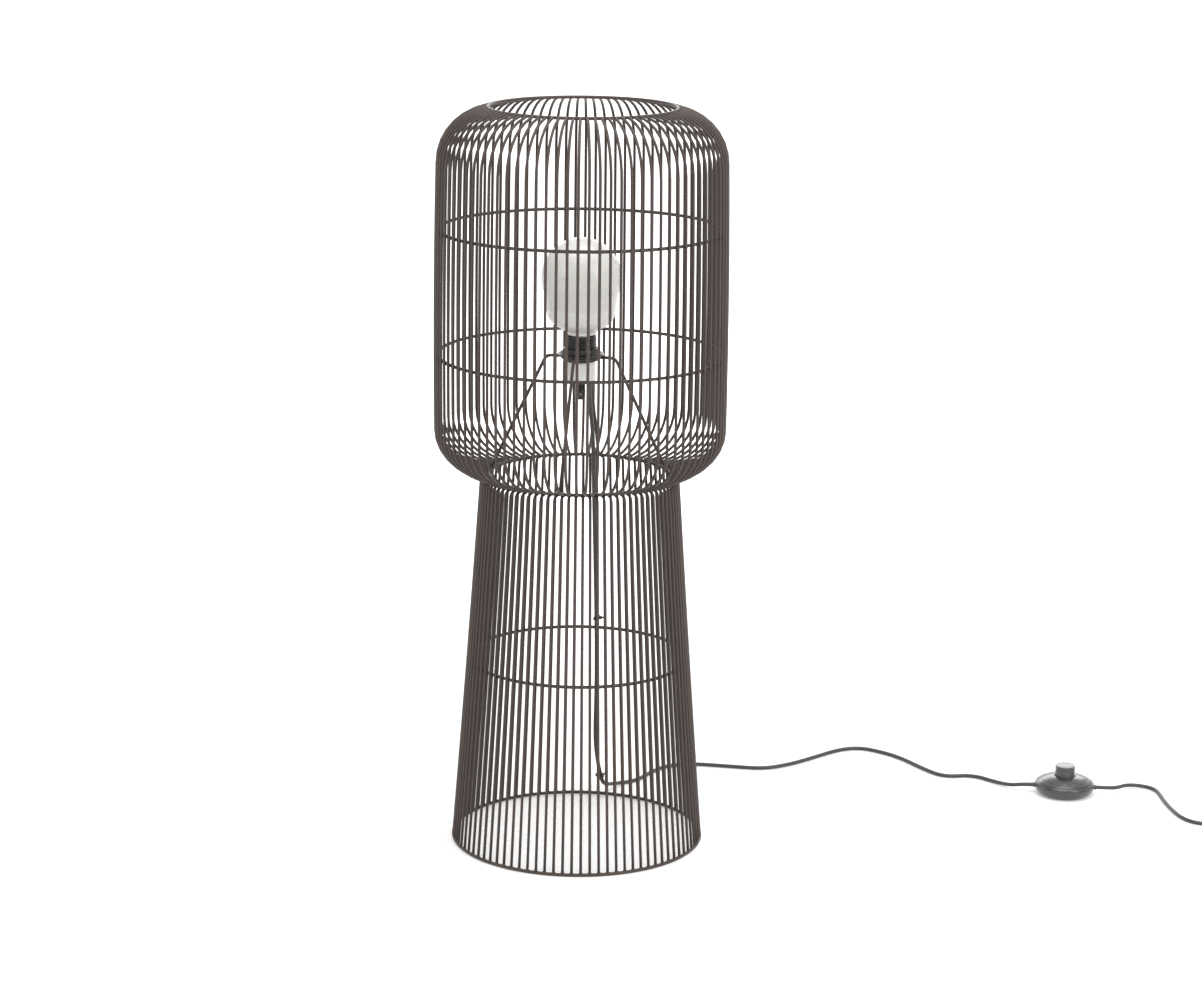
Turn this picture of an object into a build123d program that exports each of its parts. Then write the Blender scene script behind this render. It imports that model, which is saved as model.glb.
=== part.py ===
# Wire cage floor lamp, in millimetres, +Z up.
# The origin is on the floor at the centre of the foot ring. The front of the lamp faces -Y.
# Azimuths are counted from the front, towards +X.
import os
from math import acos, atan, cos, degrees, pi, radians, sin, sqrt, tan

from build123d import *

# ---------------------------------------------------------------- driving sizes
LAMP_HEIGHT = 900.0        # floor to the top of the top ring
WAIST_HEIGHT = 457.0       # centre of the waist ring, where shade and base meet
WIRE_COUNT = 88            # upright wires, as many in the shade as in the base
WIRE = 3.1                 # across the flats of a wire: the section of a 3.5 mm round wire
HOOP = 3.6                 # across the flats of a hoop: the section of a 4 mm round wire
HOOP_SIDES = 44            # one straight for every two wires
WELD_GAP = 0.1             # between the faces that a weld bead joins
SHADE_PHASE = 0.667        # azimuth of the first shade wire, in wire spacings
BASE_PHASE = 0.485         # azimuth of the first base wire, in wire spacings

SHADE_RADIUS_LOW = 174.2   # wire centre, where the side meets the lower shoulder
SHADE_RADIUS_HIGH = 171.9  # wire centre, where the side meets the upper shoulder
SHOULDER_HIGH_WIDE = 1.12  # how far in each shoulder's curve would reach, as a share of the way
SHOULDER_LOW_WIDE = 1.08   # from the side of the shade to the ring that its wires end on
SHOULDER_HIGH_TALL = 64.6
SHOULDER_LOW_TALL = 54.5
SHOULDER_STEPS = 3         # straights in each shoulder, so that 88 wires stay light
TOP_RING_RADIUS = 111.7
WAIST_RING_RADIUS = 109.2
FOOT_RING_RADIUS = 152.3
UPPER_HOOP_SHARE = 0.6704  # of the way from the waist ring to the top
LOWER_HOOP_SHARE = 0.3318
MID_HOOP_SHARE = 0.5011    # of the way from the floor to the waist ring
ROUND_SIDES = 28           # a round body is a prism of many sides, so that the whole lamp stays light
SMALL_SIDES = 12
BASE_TOP_RADIUS = 118.4    # wire centre just under the waist, before the wires turn in
BASE_BEND = 7.0            # length of wire taken by the turn towards the waist ring

SPIDER_WIRE = 4.0
SPIDER_RING_RADIUS = 22.2  # centre of the ring wire, round the lampholder
SPIDER_HEIGHT = 601.2      # centre of the ring wire and of the level arms
SPIDER_ARM = 42.0          # radius where an arm turns down
SPIDER_FOOT_RADIUS = 109.4
SPIDER_AZIMUTH = -12.0     # of the front leg; four legs, square to each other
SPIDER_BEND = 6.0

# lampholder: a threaded skirt with a screwed clamp ring over a screwed cap
SKIRT_RADIUS = 18.9
SKIRT_TOP = 627.2
SKIRT_BORE = 16.8
SHELL_BOTTOM = 596.2
SHELL_LIP_RADIUS = 15.2
SHELL_LIP = 1.5
SHOULDER_RADIUS = 21.6     # the fixed rim that the spider ring rests on
SHOULDER_THICK = 1.6
CLAMP_RADIUS = 28.0
CLAMP_TOP_RADIUS = 20.9
CLAMP_HEIGHT = 9.0
CLAMP_RIM = 2.0
THREAD_CLEARANCE = 0.3
HOLDER_CAP_RADIUS = 17.3
HOLDER_CAP_HEIGHT = 25.2
HOLDER_CAP_WALL = 1.8
HOLDER_CAP_ROUND = 1.6
CORE_THICK = 3.0
CORE_BLOCK = 12.0          # radius of the terminal block under the core
CORE_DEPTH = 11.0
CORE_SLOT = 2.5            # gap between its two terminals
THREAD_PITCH = 2.4
THREAD_DEPTH = 0.7
SLEEVE_RADIUS = 14.3
SLEEVE_WALL = 0.5
SLEEVE_HEIGHT = 20.0
TONGUE_WIDTH = 7.0
TONGUE_LENGTH = 18.0
TONGUE_THICK = 0.6
TONGUE_RISE = 2.2
GRIP_RADIUS = 5.85
GRIP_LENGTH = 21.5
GRIP_SPIGOT = 4.6
GRIP_SCREW_RADIUS = 1.6
GRIP_CHAMFER = 0.8
GRIP_NUT = 1.5             # how far the spigot stands into the cap
GRIP_SCREW_HEIGHT = 7.0    # above the lower end of the grip
GRIP_SCREW_DEPTH = 3.0
GRIP_SCREW_LENGTH = 3.4
GRIP_SCREW_SLOT = 0.5
GLAND_RADIUS = 4.0
GLAND_RIM = 4.7
GLAND_OFFSET = 10.8        # from the lamp's axis to the cord outlet
GLAND_DROP = 2.0

# bulb: a globe of 95 mm on a screw cap of 27 mm
GLOBE_RADIUS = 48.0
GLOBE_HEIGHT = 696.5       # centre of the globe
COLLAR = [                 # (radius, rise) of the collar that rounds in under the globe
    (18.2, 0.0), (18.8, 3.2), (26.6, 8.0), (33.4, 12.8), (38.0, 18.0), (40.8, 25.5), (42.6, 35.0)]
COLLAR_EDGE = 22.0         # angle below the globe's middle where the collar starts
GLASS = 0.9
GLOBE_STEPS = 11
GLOBE_CROWN = 6.0          # half angle of the flat at the top of the globe
SCREW_CAP_RADIUS = 13.4
SCREW_CAP_HEIGHT = 19.5
SCREW_CAP_WALL = 0.5
INSULATOR_HEIGHT = 4.5
CONTACT_RADIUS = 4.6
CONTACT_HEIGHT = 1.4
CONTACT_CLEARANCE = 0.3
INSULATOR_RIM = 0.8

# foot switch on the lead
SWITCH_X, SWITCH_Y = 629.5, 172.0
SWITCH_TURN = -6.5         # of its cord line, seen from above
SWITCH_RADIUS = 38.2
SWITCH_PARTING = 11.0      # height of the joint between base and cover
SWITCH_PAD_RADIUS = 30.0
SWITCH_STEP_RADIUS = 30.5
SWITCH_STEP_HEIGHT = 19.5
SWITCH_TOP = 24.5
SWITCH_WALL = 2.2
SWITCH_FOOT = 0.6          # extra thickness of the switch's floor
SWITCH_SEAM = 0.6          # step where the dome sits on the cover's rim
SWITCH_BOSS_WALL = 1.6
SWITCH_CORD_HEIGHT = 9.4
BUTTON_RADIUS = 12.7
BUTTON_TOP = 37.5
BUTTON_TRAVEL = 4.0
BUTTON_CLEARANCE = 0.35
BUTTON_FLANGE = 15.0
BUTTON_FLANGE_THICK = 1.6
BUTTON_EDGE = 0.9
MECHANISM = 22.0
SWITCH_SCREW_RADIUS = 2.6
SWITCH_SCREW_CIRCLE = 24.0

# lead
CORD = 5.0                 # diameter
CORD_SIDES = 6
COIL_CENTRE = (852.0, 18.0)
COIL_RADIUS = 27.5         # middle of the turns
COIL_LOOPS = 5             # in two layers, in and out again
COIL_PITCH = 5.5           # from loop to loop, and from layer to layer
PLUG_WIDTH = 35.3
PLUG_THICK = 13.7
PLUG_LENGTH = 36.0
PLUG_TAIL = 14.0
PLUG_X, PLUG_Y = 946.0, 36.0
PLUG_TURN = -16.0
PIN_RADIUS = 2.0
PIN_SPACING = 19.0
PIN_LENGTH = 19.0
PIN_SLEEVE = 10.0
TIE_WIDTH = 2.6
TIE_THICK = 1.1
TIE_CLEARANCE = 0.35
TIE_BLOCK = 4.6
TIE_HEIGHTS = (243.0, 27.0)
TIE_WIRE_AZIMUTH = (41 + BASE_PHASE) * 360.0 / WIRE_COUNT

# ---------------------------------------------------------------- worked-out sizes
SPACING = 360.0 / WIRE_COUNT
UPPER_HOOP_HEIGHT = WAIST_HEIGHT + UPPER_HOOP_SHARE * (LAMP_HEIGHT - WAIST_HEIGHT)
LOWER_HOOP_HEIGHT = WAIST_HEIGHT + LOWER_HOOP_SHARE * (LAMP_HEIGHT - WAIST_HEIGHT)
MID_HOOP_HEIGHT = MID_HOOP_SHARE * WAIST_HEIGHT
TOP_RING_HEIGHT = LAMP_HEIGHT - HOOP / 2
FOOT_RING_HEIGHT = HOOP / 2
SPIDER_SHELF = SPIDER_HEIGHT - SPIDER_WIRE / 2
CORE_BOTTOM = SHELL_BOTTOM + SHELL_LIP + WELD_GAP
CORE_TOP = CORE_BOTTOM + CORE_THICK
BULB_BOTTOM = CORE_TOP + CONTACT_CLEARANCE + TONGUE_RISE + CONTACT_CLEARANCE
INSULATOR_BOTTOM = BULB_BOTTOM + CONTACT_HEIGHT
SCREW_CAP_BOTTOM = INSULATOR_BOTTOM + INSULATOR_HEIGHT
SCREW_CAP_TOP = SCREW_CAP_BOTTOM + SCREW_CAP_HEIGHT
HOLDER_CAP_TOP = SHELL_BOTTOM - WELD_GAP
HOLDER_CAP_BOTTOM = HOLDER_CAP_TOP - HOLDER_CAP_HEIGHT
GRIP_TOP = HOLDER_CAP_BOTTOM - WELD_GAP
CLAMP_BOTTOM = SPIDER_HEIGHT + SPIDER_WIRE / 2 + WELD_GAP


def at_azimuth(radius, azimuth, height):
    """A point at a radius and an azimuth counted from the front."""
    return Vector(radius * sin(radians(azimuth)), -radius * cos(radians(azimuth)), height)


def side_radius(height):
    """Centre of a shade wire on its straight side, which leans in a little towards the top."""
    low = WAIST_HEIGHT + HOOP / 2 + SHOULDER_LOW_TALL
    high = TOP_RING_HEIGHT - SHOULDER_HIGH_TALL
    return SHADE_RADIUS_LOW + (SHADE_RADIUS_HIGH - SHADE_RADIUS_LOW) * (height - low) / (high - low)


def base_radius(height):
    """Centre of a base wire, which is straight from the foot ring to just under the waist."""
    return FOOT_RING_RADIUS + (BASE_TOP_RADIUS - FOOT_RING_RADIUS) * height / WAIST_HEIGHT


def bend(centre_r, centre_z, wide, tall, start, end, steps):
    """Points of a curve in the plane of one wire, part of an ellipse, by angle above level."""
    angles = [radians(start + (end - start) * i / steps) for i in range(steps + 1)]
    return [(centre_r + wide * cos(a), centre_z + tall * sin(a)) for a in angles]


def wire_along(points, across):
    """One four-sided wire along points (radius, height), at azimuth 90, in the plane of X and Z."""
    with BuildPart() as wire:
        with BuildLine(Plane.XZ) as path:
            Polyline(*points)
        with BuildSketch(Plane(origin=path.line @ 0, x_dir=(0, 1, 0), z_dir=path.line % 0)):
            Rectangle(across, across)
        sweep(transition=Transition.RIGHT)
    return wire.part


def ringed(wire, phase):
    """WIRE_COUNT copies of a wire about the lamp's axis; phase is in wire spacings."""
    with BuildPart() as ring:
        with PolarLocations(0, WIRE_COUNT, start_angle=(phase - WIRE_COUNT / 4) * SPACING):
            add(wire)
    return ring.part


def hoop(outer, height, phase):
    """A hoop whose outer flats lie at radius outer where the wires cross them."""
    with BuildPart() as ring:
        turn = (phase + 1 - WIRE_COUNT / 4) * SPACING
        with BuildSketch(Plane.XY.offset(height - HOOP / 2)):
            across = outer * cos(radians(SPACING / 2))
            flat = degrees(pi / HOOP_SIDES)
            RegularPolygon(across, HOOP_SIDES, major_radius=False, rotation=turn + flat - SPACING / 2)
            RegularPolygon(across - HOOP, HOOP_SIDES, major_radius=False,
                           rotation=turn + flat - SPACING / 2, mode=Mode.SUBTRACT)
        extrude(amount=HOOP)
    return ring.part


def revolved(points):
    """A solid of revolution about the lamp's axis from (radius, height) corners."""
    with BuildPart() as turned:
        with BuildSketch(Plane.XZ):
            with BuildLine():
                Polyline(*points, close=True)
            make_face()
        revolve(axis=Axis.Z)
    return turned.part


def round_body(outline, sides=ROUND_SIDES, mode=Mode.ADD, base=Plane.XY):
    """A round body in the active part, as tapered prisms from each (height, radius) to the next."""
    for (low, below), (high, above) in zip(outline, outline[1:]):
        with BuildSketch(base.offset(low)) as end:
            RegularPolygon(max(below, above), sides)
        slope = degrees(atan(abs(below - above) * cos(pi / sides) / (high - low)))
        if above > below:               # a prism that widens is drawn upside down
            band = extrude(end.sketch, amount=high - low, taper=slope, mode=Mode.PRIVATE)
            mirror(band, about=base.offset((low + high) / 2), mode=mode)
        else:
            extrude(end.sketch, amount=high - low, taper=slope, mode=mode)


def save(part, name):
    part.label = name
    export_step(part, f"parts/{name}.step")


os.makedirs("parts", exist_ok=True)

# ---------------------------------------------------------------- shade cage
top_tip = TOP_RING_RADIUS + HOOP / 2 + WELD_GAP
low_tip = WAIST_RING_RADIUS + HOOP / 2 + WELD_GAP
low_height = WAIST_HEIGHT + HOOP / 2


def shoulder(side, tip, wide_share, height, tall):
    """The curve from a level tip out to the upright side; tall is negative below its side."""
    wide = (side - tip) * wide_share
    level_end = tip + WIRE              # the tip itself is level, to meet the ring squarely
    turn = degrees(acos((level_end - side + wide) / wide))
    curve = bend(side - wide, height - tall, wide, tall, turn, 0, SHOULDER_STEPS)
    return [(tip, curve[0][1])] + curve


high_curve = shoulder(SHADE_RADIUS_HIGH, top_tip, SHOULDER_HIGH_WIDE, TOP_RING_HEIGHT, SHOULDER_HIGH_TALL)
low_curve = shoulder(SHADE_RADIUS_LOW, low_tip, SHOULDER_LOW_WIDE, low_height, -SHOULDER_LOW_TALL)
shade_path = high_curve + low_curve[::-1]
save(ringed(wire_along(shade_path, WIRE), SHADE_PHASE), "shade_wires")
save(hoop(TOP_RING_RADIUS + HOOP / 2, TOP_RING_HEIGHT, SHADE_PHASE), "shade_top_ring")
inside = WIRE / 2 + WELD_GAP
save(hoop(side_radius(UPPER_HOOP_HEIGHT) - inside, UPPER_HOOP_HEIGHT, SHADE_PHASE), "shade_upper_hoop")
save(hoop(side_radius(LOWER_HOOP_HEIGHT) - inside, LOWER_HOOP_HEIGHT, SHADE_PHASE), "shade_lower_hoop")
save(hoop(WAIST_RING_RADIUS + HOOP / 2, WAIST_HEIGHT, SHADE_PHASE), "waist_ring")

# ---------------------------------------------------------------- base cage
turn_height = WAIST_HEIGHT - HOOP / 2
lean = atan((FOOT_RING_RADIUS - BASE_TOP_RADIUS) / WAIST_HEIGHT)
wire_foot = HOOP + WELD_GAP + WIRE / 2 * sin(lean)
base_tip = low_tip + WELD_GAP        # clear of the waist ring's corners too
base_path = [
    (base_radius(wire_foot), wire_foot),
    (base_radius(turn_height - BASE_BEND), turn_height - BASE_BEND),
    (base_tip + BASE_BEND / 3, turn_height),
    (base_tip, turn_height),
]
save(ringed(wire_along(base_path, WIRE), BASE_PHASE), "base_wires")
save(hoop(base_radius(MID_HOOP_HEIGHT + HOOP / 2) - inside, MID_HOOP_HEIGHT, BASE_PHASE), "base_mid_hoop")
save(hoop(FOOT_RING_RADIUS + HOOP / 2, FOOT_RING_HEIGHT, BASE_PHASE), "foot_ring")

# ---------------------------------------------------------------- spider that carries the lampholder
arm_start = SPIDER_RING_RADIUS + SPIDER_WIRE / 2 + WELD_GAP
leg_slope = radians(64)
foot_height = WAIST_HEIGHT + HOOP / 2 + WELD_GAP + SPIDER_WIRE / 2 * cos(leg_slope) + 0.1
with BuildPart() as leg:
    with BuildLine(Plane.XZ) as leg_line:
        FilletPolyline((arm_start, SPIDER_HEIGHT), (SPIDER_ARM, SPIDER_HEIGHT),
                       (SPIDER_FOOT_RADIUS, foot_height), radius=SPIDER_BEND)
    with BuildSketch(Plane(origin=leg_line.line @ 0, x_dir=(0, 1, 0), z_dir=leg_line.line % 0)):
        RegularPolygon(SPIDER_WIRE / 2, 6)
    sweep()
with BuildPart() as legs:
    with PolarLocations(0, 4, start_angle=SPIDER_AZIMUTH):
        add(leg.part)
save(legs.part, "spider_legs")

with BuildPart() as spider_ring:
    ring_low, ring_high = SPIDER_HEIGHT - SPIDER_WIRE / 2, SPIDER_HEIGHT + SPIDER_WIRE / 2
    round_body([(ring_low, SPIDER_RING_RADIUS + SPIDER_WIRE / 2), (ring_high, SPIDER_RING_RADIUS + SPIDER_WIRE / 2)])
    round_body([(ring_low, SPIDER_RING_RADIUS - SPIDER_WIRE / 2), (ring_high, SPIDER_RING_RADIUS - SPIDER_WIRE / 2)],
               mode=Mode.SUBTRACT)
save(spider_ring.part, "spider_ring")

# ---------------------------------------------------------------- lampholder
# The rim under the spider ring and the clamp ring above it hold the holder in the spider.
shelf = SPIDER_SHELF - WELD_GAP
with BuildPart() as holder_shell:
    round_body([(SHELL_BOTTOM, HOLDER_CAP_RADIUS), (shelf - SHOULDER_THICK, HOLDER_CAP_RADIUS)])
    round_body([(shelf - SHOULDER_THICK, SHOULDER_RADIUS), (shelf, SHOULDER_RADIUS)])
    round_body([(shelf, SKIRT_RADIUS - THREAD_DEPTH), (SKIRT_TOP, SKIRT_RADIUS - THREAD_DEPTH)])
    # the skirt's thread shows above the clamp ring, as ridges one pitch apart
    ridge = SKIRT_TOP - THREAD_PITCH
    while ridge > CLAMP_BOTTOM + CLAMP_HEIGHT - THREAD_PITCH:
        round_body([(ridge - THREAD_PITCH / 2, SKIRT_RADIUS - THREAD_DEPTH), (ridge, SKIRT_RADIUS),
                    (ridge + THREAD_PITCH / 2, SKIRT_RADIUS - THREAD_DEPTH)])
        ridge -= THREAD_PITCH
    round_body([(SHELL_BOTTOM, SHELL_LIP_RADIUS), (SHELL_BOTTOM + SHELL_LIP, SHELL_LIP_RADIUS)], mode=Mode.SUBTRACT)
    round_body([(SHELL_BOTTOM + SHELL_LIP, SKIRT_BORE), (SKIRT_TOP, SKIRT_BORE)], mode=Mode.SUBTRACT)
save(holder_shell.part, "holder_shell")

clamp_bore = SKIRT_RADIUS + THREAD_CLEARANCE
clamp_top = CLAMP_BOTTOM + CLAMP_HEIGHT
with BuildPart() as clamp_ring:
    round_body([(CLAMP_BOTTOM, CLAMP_RADIUS), (CLAMP_BOTTOM + CLAMP_RIM, CLAMP_RADIUS), (clamp_top, CLAMP_TOP_RADIUS)])
    round_body([(CLAMP_BOTTOM, clamp_bore), (clamp_top, clamp_bore)], mode=Mode.SUBTRACT)
save(clamp_ring.part, "clamp_ring")

with BuildPart() as holder_core:
    round_body([(CORE_BOTTOM, SKIRT_BORE - THREAD_CLEARANCE), (CORE_TOP, SKIRT_BORE - THREAD_CLEARANCE)])
    with BuildSketch(Plane.XY.offset(CORE_BOTTOM)):
        RegularPolygon(CORE_BLOCK, SMALL_SIDES)
        Rectangle(CORE_SLOT, 2 * CORE_BLOCK, mode=Mode.SUBTRACT)
    extrude(amount=-CORE_DEPTH)
save(holder_core.part, "holder_core")

sleeve_seat = CORE_TOP + WELD_GAP
save(revolved([
    (SLEEVE_RADIUS - SLEEVE_WALL, sleeve_seat), (SLEEVE_RADIUS, sleeve_seat),
    (SLEEVE_RADIUS, sleeve_seat + SLEEVE_HEIGHT),
    (SLEEVE_RADIUS - SLEEVE_WALL, sleeve_seat + SLEEVE_HEIGHT)]), "holder_screw_sleeve")

# a sprung brass strip, arched under the bulb's contact
with BuildPart() as tongue:
    with BuildSketch(Plane.XZ) as arch:
        with BuildLine():
            foot = CORE_TOP + CONTACT_CLEARANCE
            half = TONGUE_LENGTH / 2
            crown = foot + TONGUE_RISE
            outer_arc = ThreePointArc((-half, foot), (0, crown), (half, foot))
            Line((half, foot), (half - TONGUE_THICK, foot))
            ThreePointArc((half - TONGUE_THICK, foot), (0, crown - TONGUE_THICK),
                          (TONGUE_THICK - half, foot))
            Line((TONGUE_THICK - half, foot), (-half, foot))
        make_face()
    extrude(amount=TONGUE_WIDTH / 2, both=True)
save(tongue.part, "holder_contact_tongue")

outlet = (GLAND_OFFSET, 0)
cap_floor = HOLDER_CAP_BOTTOM + HOLDER_CAP_WALL
cap_bore = HOLDER_CAP_RADIUS - HOLDER_CAP_WALL
with BuildPart() as holder_cap:
    round_body([(HOLDER_CAP_BOTTOM, HOLDER_CAP_RADIUS - HOLDER_CAP_ROUND),
                (HOLDER_CAP_BOTTOM + HOLDER_CAP_ROUND, HOLDER_CAP_RADIUS), (HOLDER_CAP_TOP, HOLDER_CAP_RADIUS)])
    round_body([(cap_floor, cap_bore), (HOLDER_CAP_TOP, cap_bore)], mode=Mode.SUBTRACT)
    with BuildSketch(Plane.XY.offset(HOLDER_CAP_BOTTOM)):
        RegularPolygon(GRIP_SPIGOT + WELD_GAP, SMALL_SIDES)
        with Locations(outlet):
            RegularPolygon(GLAND_RADIUS + WELD_GAP, SMALL_SIDES)
    extrude(amount=HOLDER_CAP_WALL, mode=Mode.SUBTRACT)
save(holder_cap.part, "holder_cap")

grip_bottom = GRIP_TOP - GRIP_LENGTH
screw_height = grip_bottom + GRIP_SCREW_HEIGHT
with BuildPart() as holder_grip:
    round_body([(grip_bottom, GRIP_RADIUS - GRIP_CHAMFER), (grip_bottom + GRIP_CHAMFER, GRIP_RADIUS),
                (GRIP_TOP, GRIP_RADIUS)], SMALL_SIDES)
    round_body([(GRIP_TOP, GRIP_SPIGOT), (GRIP_TOP + HOLDER_CAP_WALL + GRIP_NUT, GRIP_SPIGOT)], SMALL_SIDES)
    with BuildSketch(Plane.XZ.offset(GRIP_RADIUS - GRIP_SCREW_DEPTH)):
        with Locations((0, screw_height)):
            RegularPolygon(GRIP_SCREW_RADIUS + WELD_GAP, SMALL_SIDES)
    extrude(amount=GRIP_RADIUS, mode=Mode.SUBTRACT)
save(holder_grip.part, "holder_grip")

with BuildPart() as grip_screw:
    with BuildSketch(Plane.XZ.offset(GRIP_RADIUS - GRIP_SCREW_DEPTH + WELD_GAP)):
        with Locations((0, screw_height)):
            RegularPolygon(GRIP_SCREW_RADIUS, SMALL_SIDES)
    extrude(amount=GRIP_SCREW_LENGTH)
    with BuildSketch(Plane.XZ.offset(GRIP_RADIUS - GRIP_SCREW_DEPTH + WELD_GAP + GRIP_SCREW_LENGTH)):
        with Locations((0, screw_height)):
            Rectangle(GRIP_SCREW_SLOT, 2 * GRIP_SCREW_RADIUS)
    extrude(amount=-GRIP_SCREW_SLOT, mode=Mode.SUBTRACT)
save(grip_screw.part, "grip_screw")

gland_bottom = HOLDER_CAP_BOTTOM - GLAND_DROP
with BuildPart() as gland:
    with BuildSketch(Plane.XY.offset(gland_bottom)):
        with Locations(outlet):
            RegularPolygon(GLAND_RIM, SMALL_SIDES)
    extrude(amount=GLAND_DROP - WELD_GAP)
    with BuildSketch(Plane.XY.offset(HOLDER_CAP_BOTTOM - WELD_GAP)):
        with Locations(outlet):
            RegularPolygon(GLAND_RADIUS, SMALL_SIDES)
    extrude(amount=HOLDER_CAP_WALL + WELD_GAP)
save(gland.part, "cord_gland")

# ---------------------------------------------------------------- bulb
# The globe sits in a collar that rounds in to the screw cap.
neck_bottom = SCREW_CAP_TOP + WELD_GAP


def globe_outline(wall):
    """(height, radius) of the collar and globe, drawn wall millimetres inside the outer skin."""
    radius = GLOBE_RADIUS - wall
    outline = [(r - wall, neck_bottom + rise + wall) for r, rise in COLLAR]
    outline += bend(0, GLOBE_HEIGHT, radius, radius, -COLLAR_EDGE, 90 - GLOBE_CROWN, GLOBE_STEPS)
    return [(height, r) for r, height in outline]


with BuildPart() as globe:
    round_body(globe_outline(0))
    round_body(globe_outline(GLASS), mode=Mode.SUBTRACT)
save(globe.part, "bulb_globe")

cap_inner = SCREW_CAP_RADIUS - SCREW_CAP_WALL
save(revolved([
    (0, SCREW_CAP_TOP - SCREW_CAP_WALL), (cap_inner, SCREW_CAP_TOP - SCREW_CAP_WALL),
    (cap_inner, SCREW_CAP_BOTTOM), (SCREW_CAP_RADIUS, SCREW_CAP_BOTTOM),
    (SCREW_CAP_RADIUS, SCREW_CAP_TOP), (0, SCREW_CAP_TOP)]), "bulb_screw_cap")
with BuildPart() as insulator:
    round_body([(INSULATOR_BOTTOM, CONTACT_RADIUS + INSULATOR_RIM),
                (SCREW_CAP_BOTTOM - WELD_GAP, SCREW_CAP_RADIUS - 2 * SCREW_CAP_WALL)])
save(insulator.part, "bulb_insulator")
with BuildPart() as contact:
    round_body([(BULB_BOTTOM, CONTACT_RADIUS - CONTACT_HEIGHT), (INSULATOR_BOTTOM - WELD_GAP, CONTACT_RADIUS)],
               SMALL_SIDES)
save(contact.part, "bulb_contact")

# ---------------------------------------------------------------- foot switch
switch_axis = Plane(origin=(SWITCH_X, SWITCH_Y, 0), x_dir=(cos(radians(SWITCH_TURN)),
                                                           sin(radians(SWITCH_TURN)), 0))
inner = SWITCH_RADIUS - SWITCH_WALL
floor_top = SWITCH_WALL + SWITCH_FOOT

with BuildPart() as switch_base:
    round_body([(0, SWITCH_PAD_RADIUS), (SWITCH_PARTING * 0.22, SWITCH_RADIUS - 4.2),
                (SWITCH_PARTING * 0.55, SWITCH_RADIUS - 0.9), (SWITCH_PARTING, SWITCH_RADIUS)], base=switch_axis)
    round_body([(floor_top, SWITCH_PAD_RADIUS), (SWITCH_PARTING * 0.6, inner), (SWITCH_PARTING, inner)],
               mode=Mode.SUBTRACT, base=switch_axis)
    # four bosses for the cover screws, bored from below
    with BuildSketch(switch_axis.offset(floor_top)):
        with PolarLocations(SWITCH_SCREW_CIRCLE, 4, start_angle=45):
            RegularPolygon(SWITCH_SCREW_RADIUS + SWITCH_BOSS_WALL, SMALL_SIDES)
    extrude(amount=SWITCH_PARTING - floor_top)
    with BuildSketch(switch_axis):
        with PolarLocations(SWITCH_SCREW_CIRCLE, 4, start_angle=45):
            RegularPolygon(SWITCH_SCREW_RADIUS + WELD_GAP, SMALL_SIDES)
    extrude(amount=SWITCH_PARTING, mode=Mode.SUBTRACT)
save(switch_base.part, "switch_base")

parting = SWITCH_PARTING + WELD_GAP
cover_inside = SWITCH_TOP - SWITCH_WALL
step_inside = SWITCH_STEP_HEIGHT - SWITCH_WALL
with BuildPart() as switch_cover:
    round_body([(parting, SWITCH_RADIUS), (parting + 3.2, SWITCH_RADIUS - 1.0),
                (SWITCH_STEP_HEIGHT - 2.0, SWITCH_STEP_RADIUS + 3.4), (SWITCH_STEP_HEIGHT, SWITCH_STEP_RADIUS)],
               base=switch_axis)
    round_body([(SWITCH_STEP_HEIGHT, SWITCH_STEP_RADIUS - SWITCH_SEAM), (SWITCH_STEP_HEIGHT + SWITCH_SEAM,
                SWITCH_STEP_RADIUS - SWITCH_SEAM), (SWITCH_TOP - 1.2, BUTTON_FLANGE + 5.0),
                (SWITCH_TOP, BUTTON_RADIUS + 2.0)], base=switch_axis)
    round_body([(parting, inner), (parting + 2.4, inner - 0.8), (step_inside, SWITCH_STEP_RADIUS + 1.0),
                (cover_inside, BUTTON_FLANGE + 2 * BUTTON_CLEARANCE)], mode=Mode.SUBTRACT, base=switch_axis)
    round_body([(cover_inside, BUTTON_RADIUS + BUTTON_CLEARANCE), (SWITCH_TOP, BUTTON_RADIUS + BUTTON_CLEARANCE)],
               mode=Mode.SUBTRACT, base=switch_axis)
save(switch_cover.part, "switch_cover")

with BuildPart() as switch_screws:
    with BuildSketch(switch_axis.offset(1.0)):
        with PolarLocations(SWITCH_SCREW_CIRCLE, 4, start_angle=45):
            RegularPolygon(SWITCH_SCREW_RADIUS, SMALL_SIDES)
    extrude(amount=SWITCH_PARTING - 1.0)
    with BuildSketch(switch_axis.offset(1.0)):
        with PolarLocations(SWITCH_SCREW_CIRCLE, 4, start_angle=45):
            Rectangle(3.4, 0.8)
            Rectangle(0.8, 3.4)
    extrude(amount=0.8, mode=Mode.SUBTRACT)
save(switch_screws.part, "switch_screws")

flange_top = cover_inside - BUTTON_CLEARANCE
flange_bottom = flange_top - BUTTON_FLANGE_THICK
with BuildPart() as switch_button:
    round_body([(flange_bottom, BUTTON_FLANGE), (flange_top, BUTTON_FLANGE)], base=switch_axis)
    round_body([(flange_top, BUTTON_RADIUS), (BUTTON_TOP - BUTTON_EDGE, BUTTON_RADIUS),
                (BUTTON_TOP, BUTTON_RADIUS - BUTTON_EDGE)], base=switch_axis)
save(switch_button.part, "switch_button")

mechanism_top = flange_bottom - BUTTON_TRAVEL - BUTTON_CLEARANCE
with BuildPart() as switch_mechanism:
    with BuildSketch(switch_axis.offset(floor_top + WELD_GAP)):
        Rectangle(MECHANISM, MECHANISM * 0.7)
    extrude(amount=mechanism_top - floor_top - WELD_GAP)
save(switch_mechanism.part, "switch_mechanism")

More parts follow.
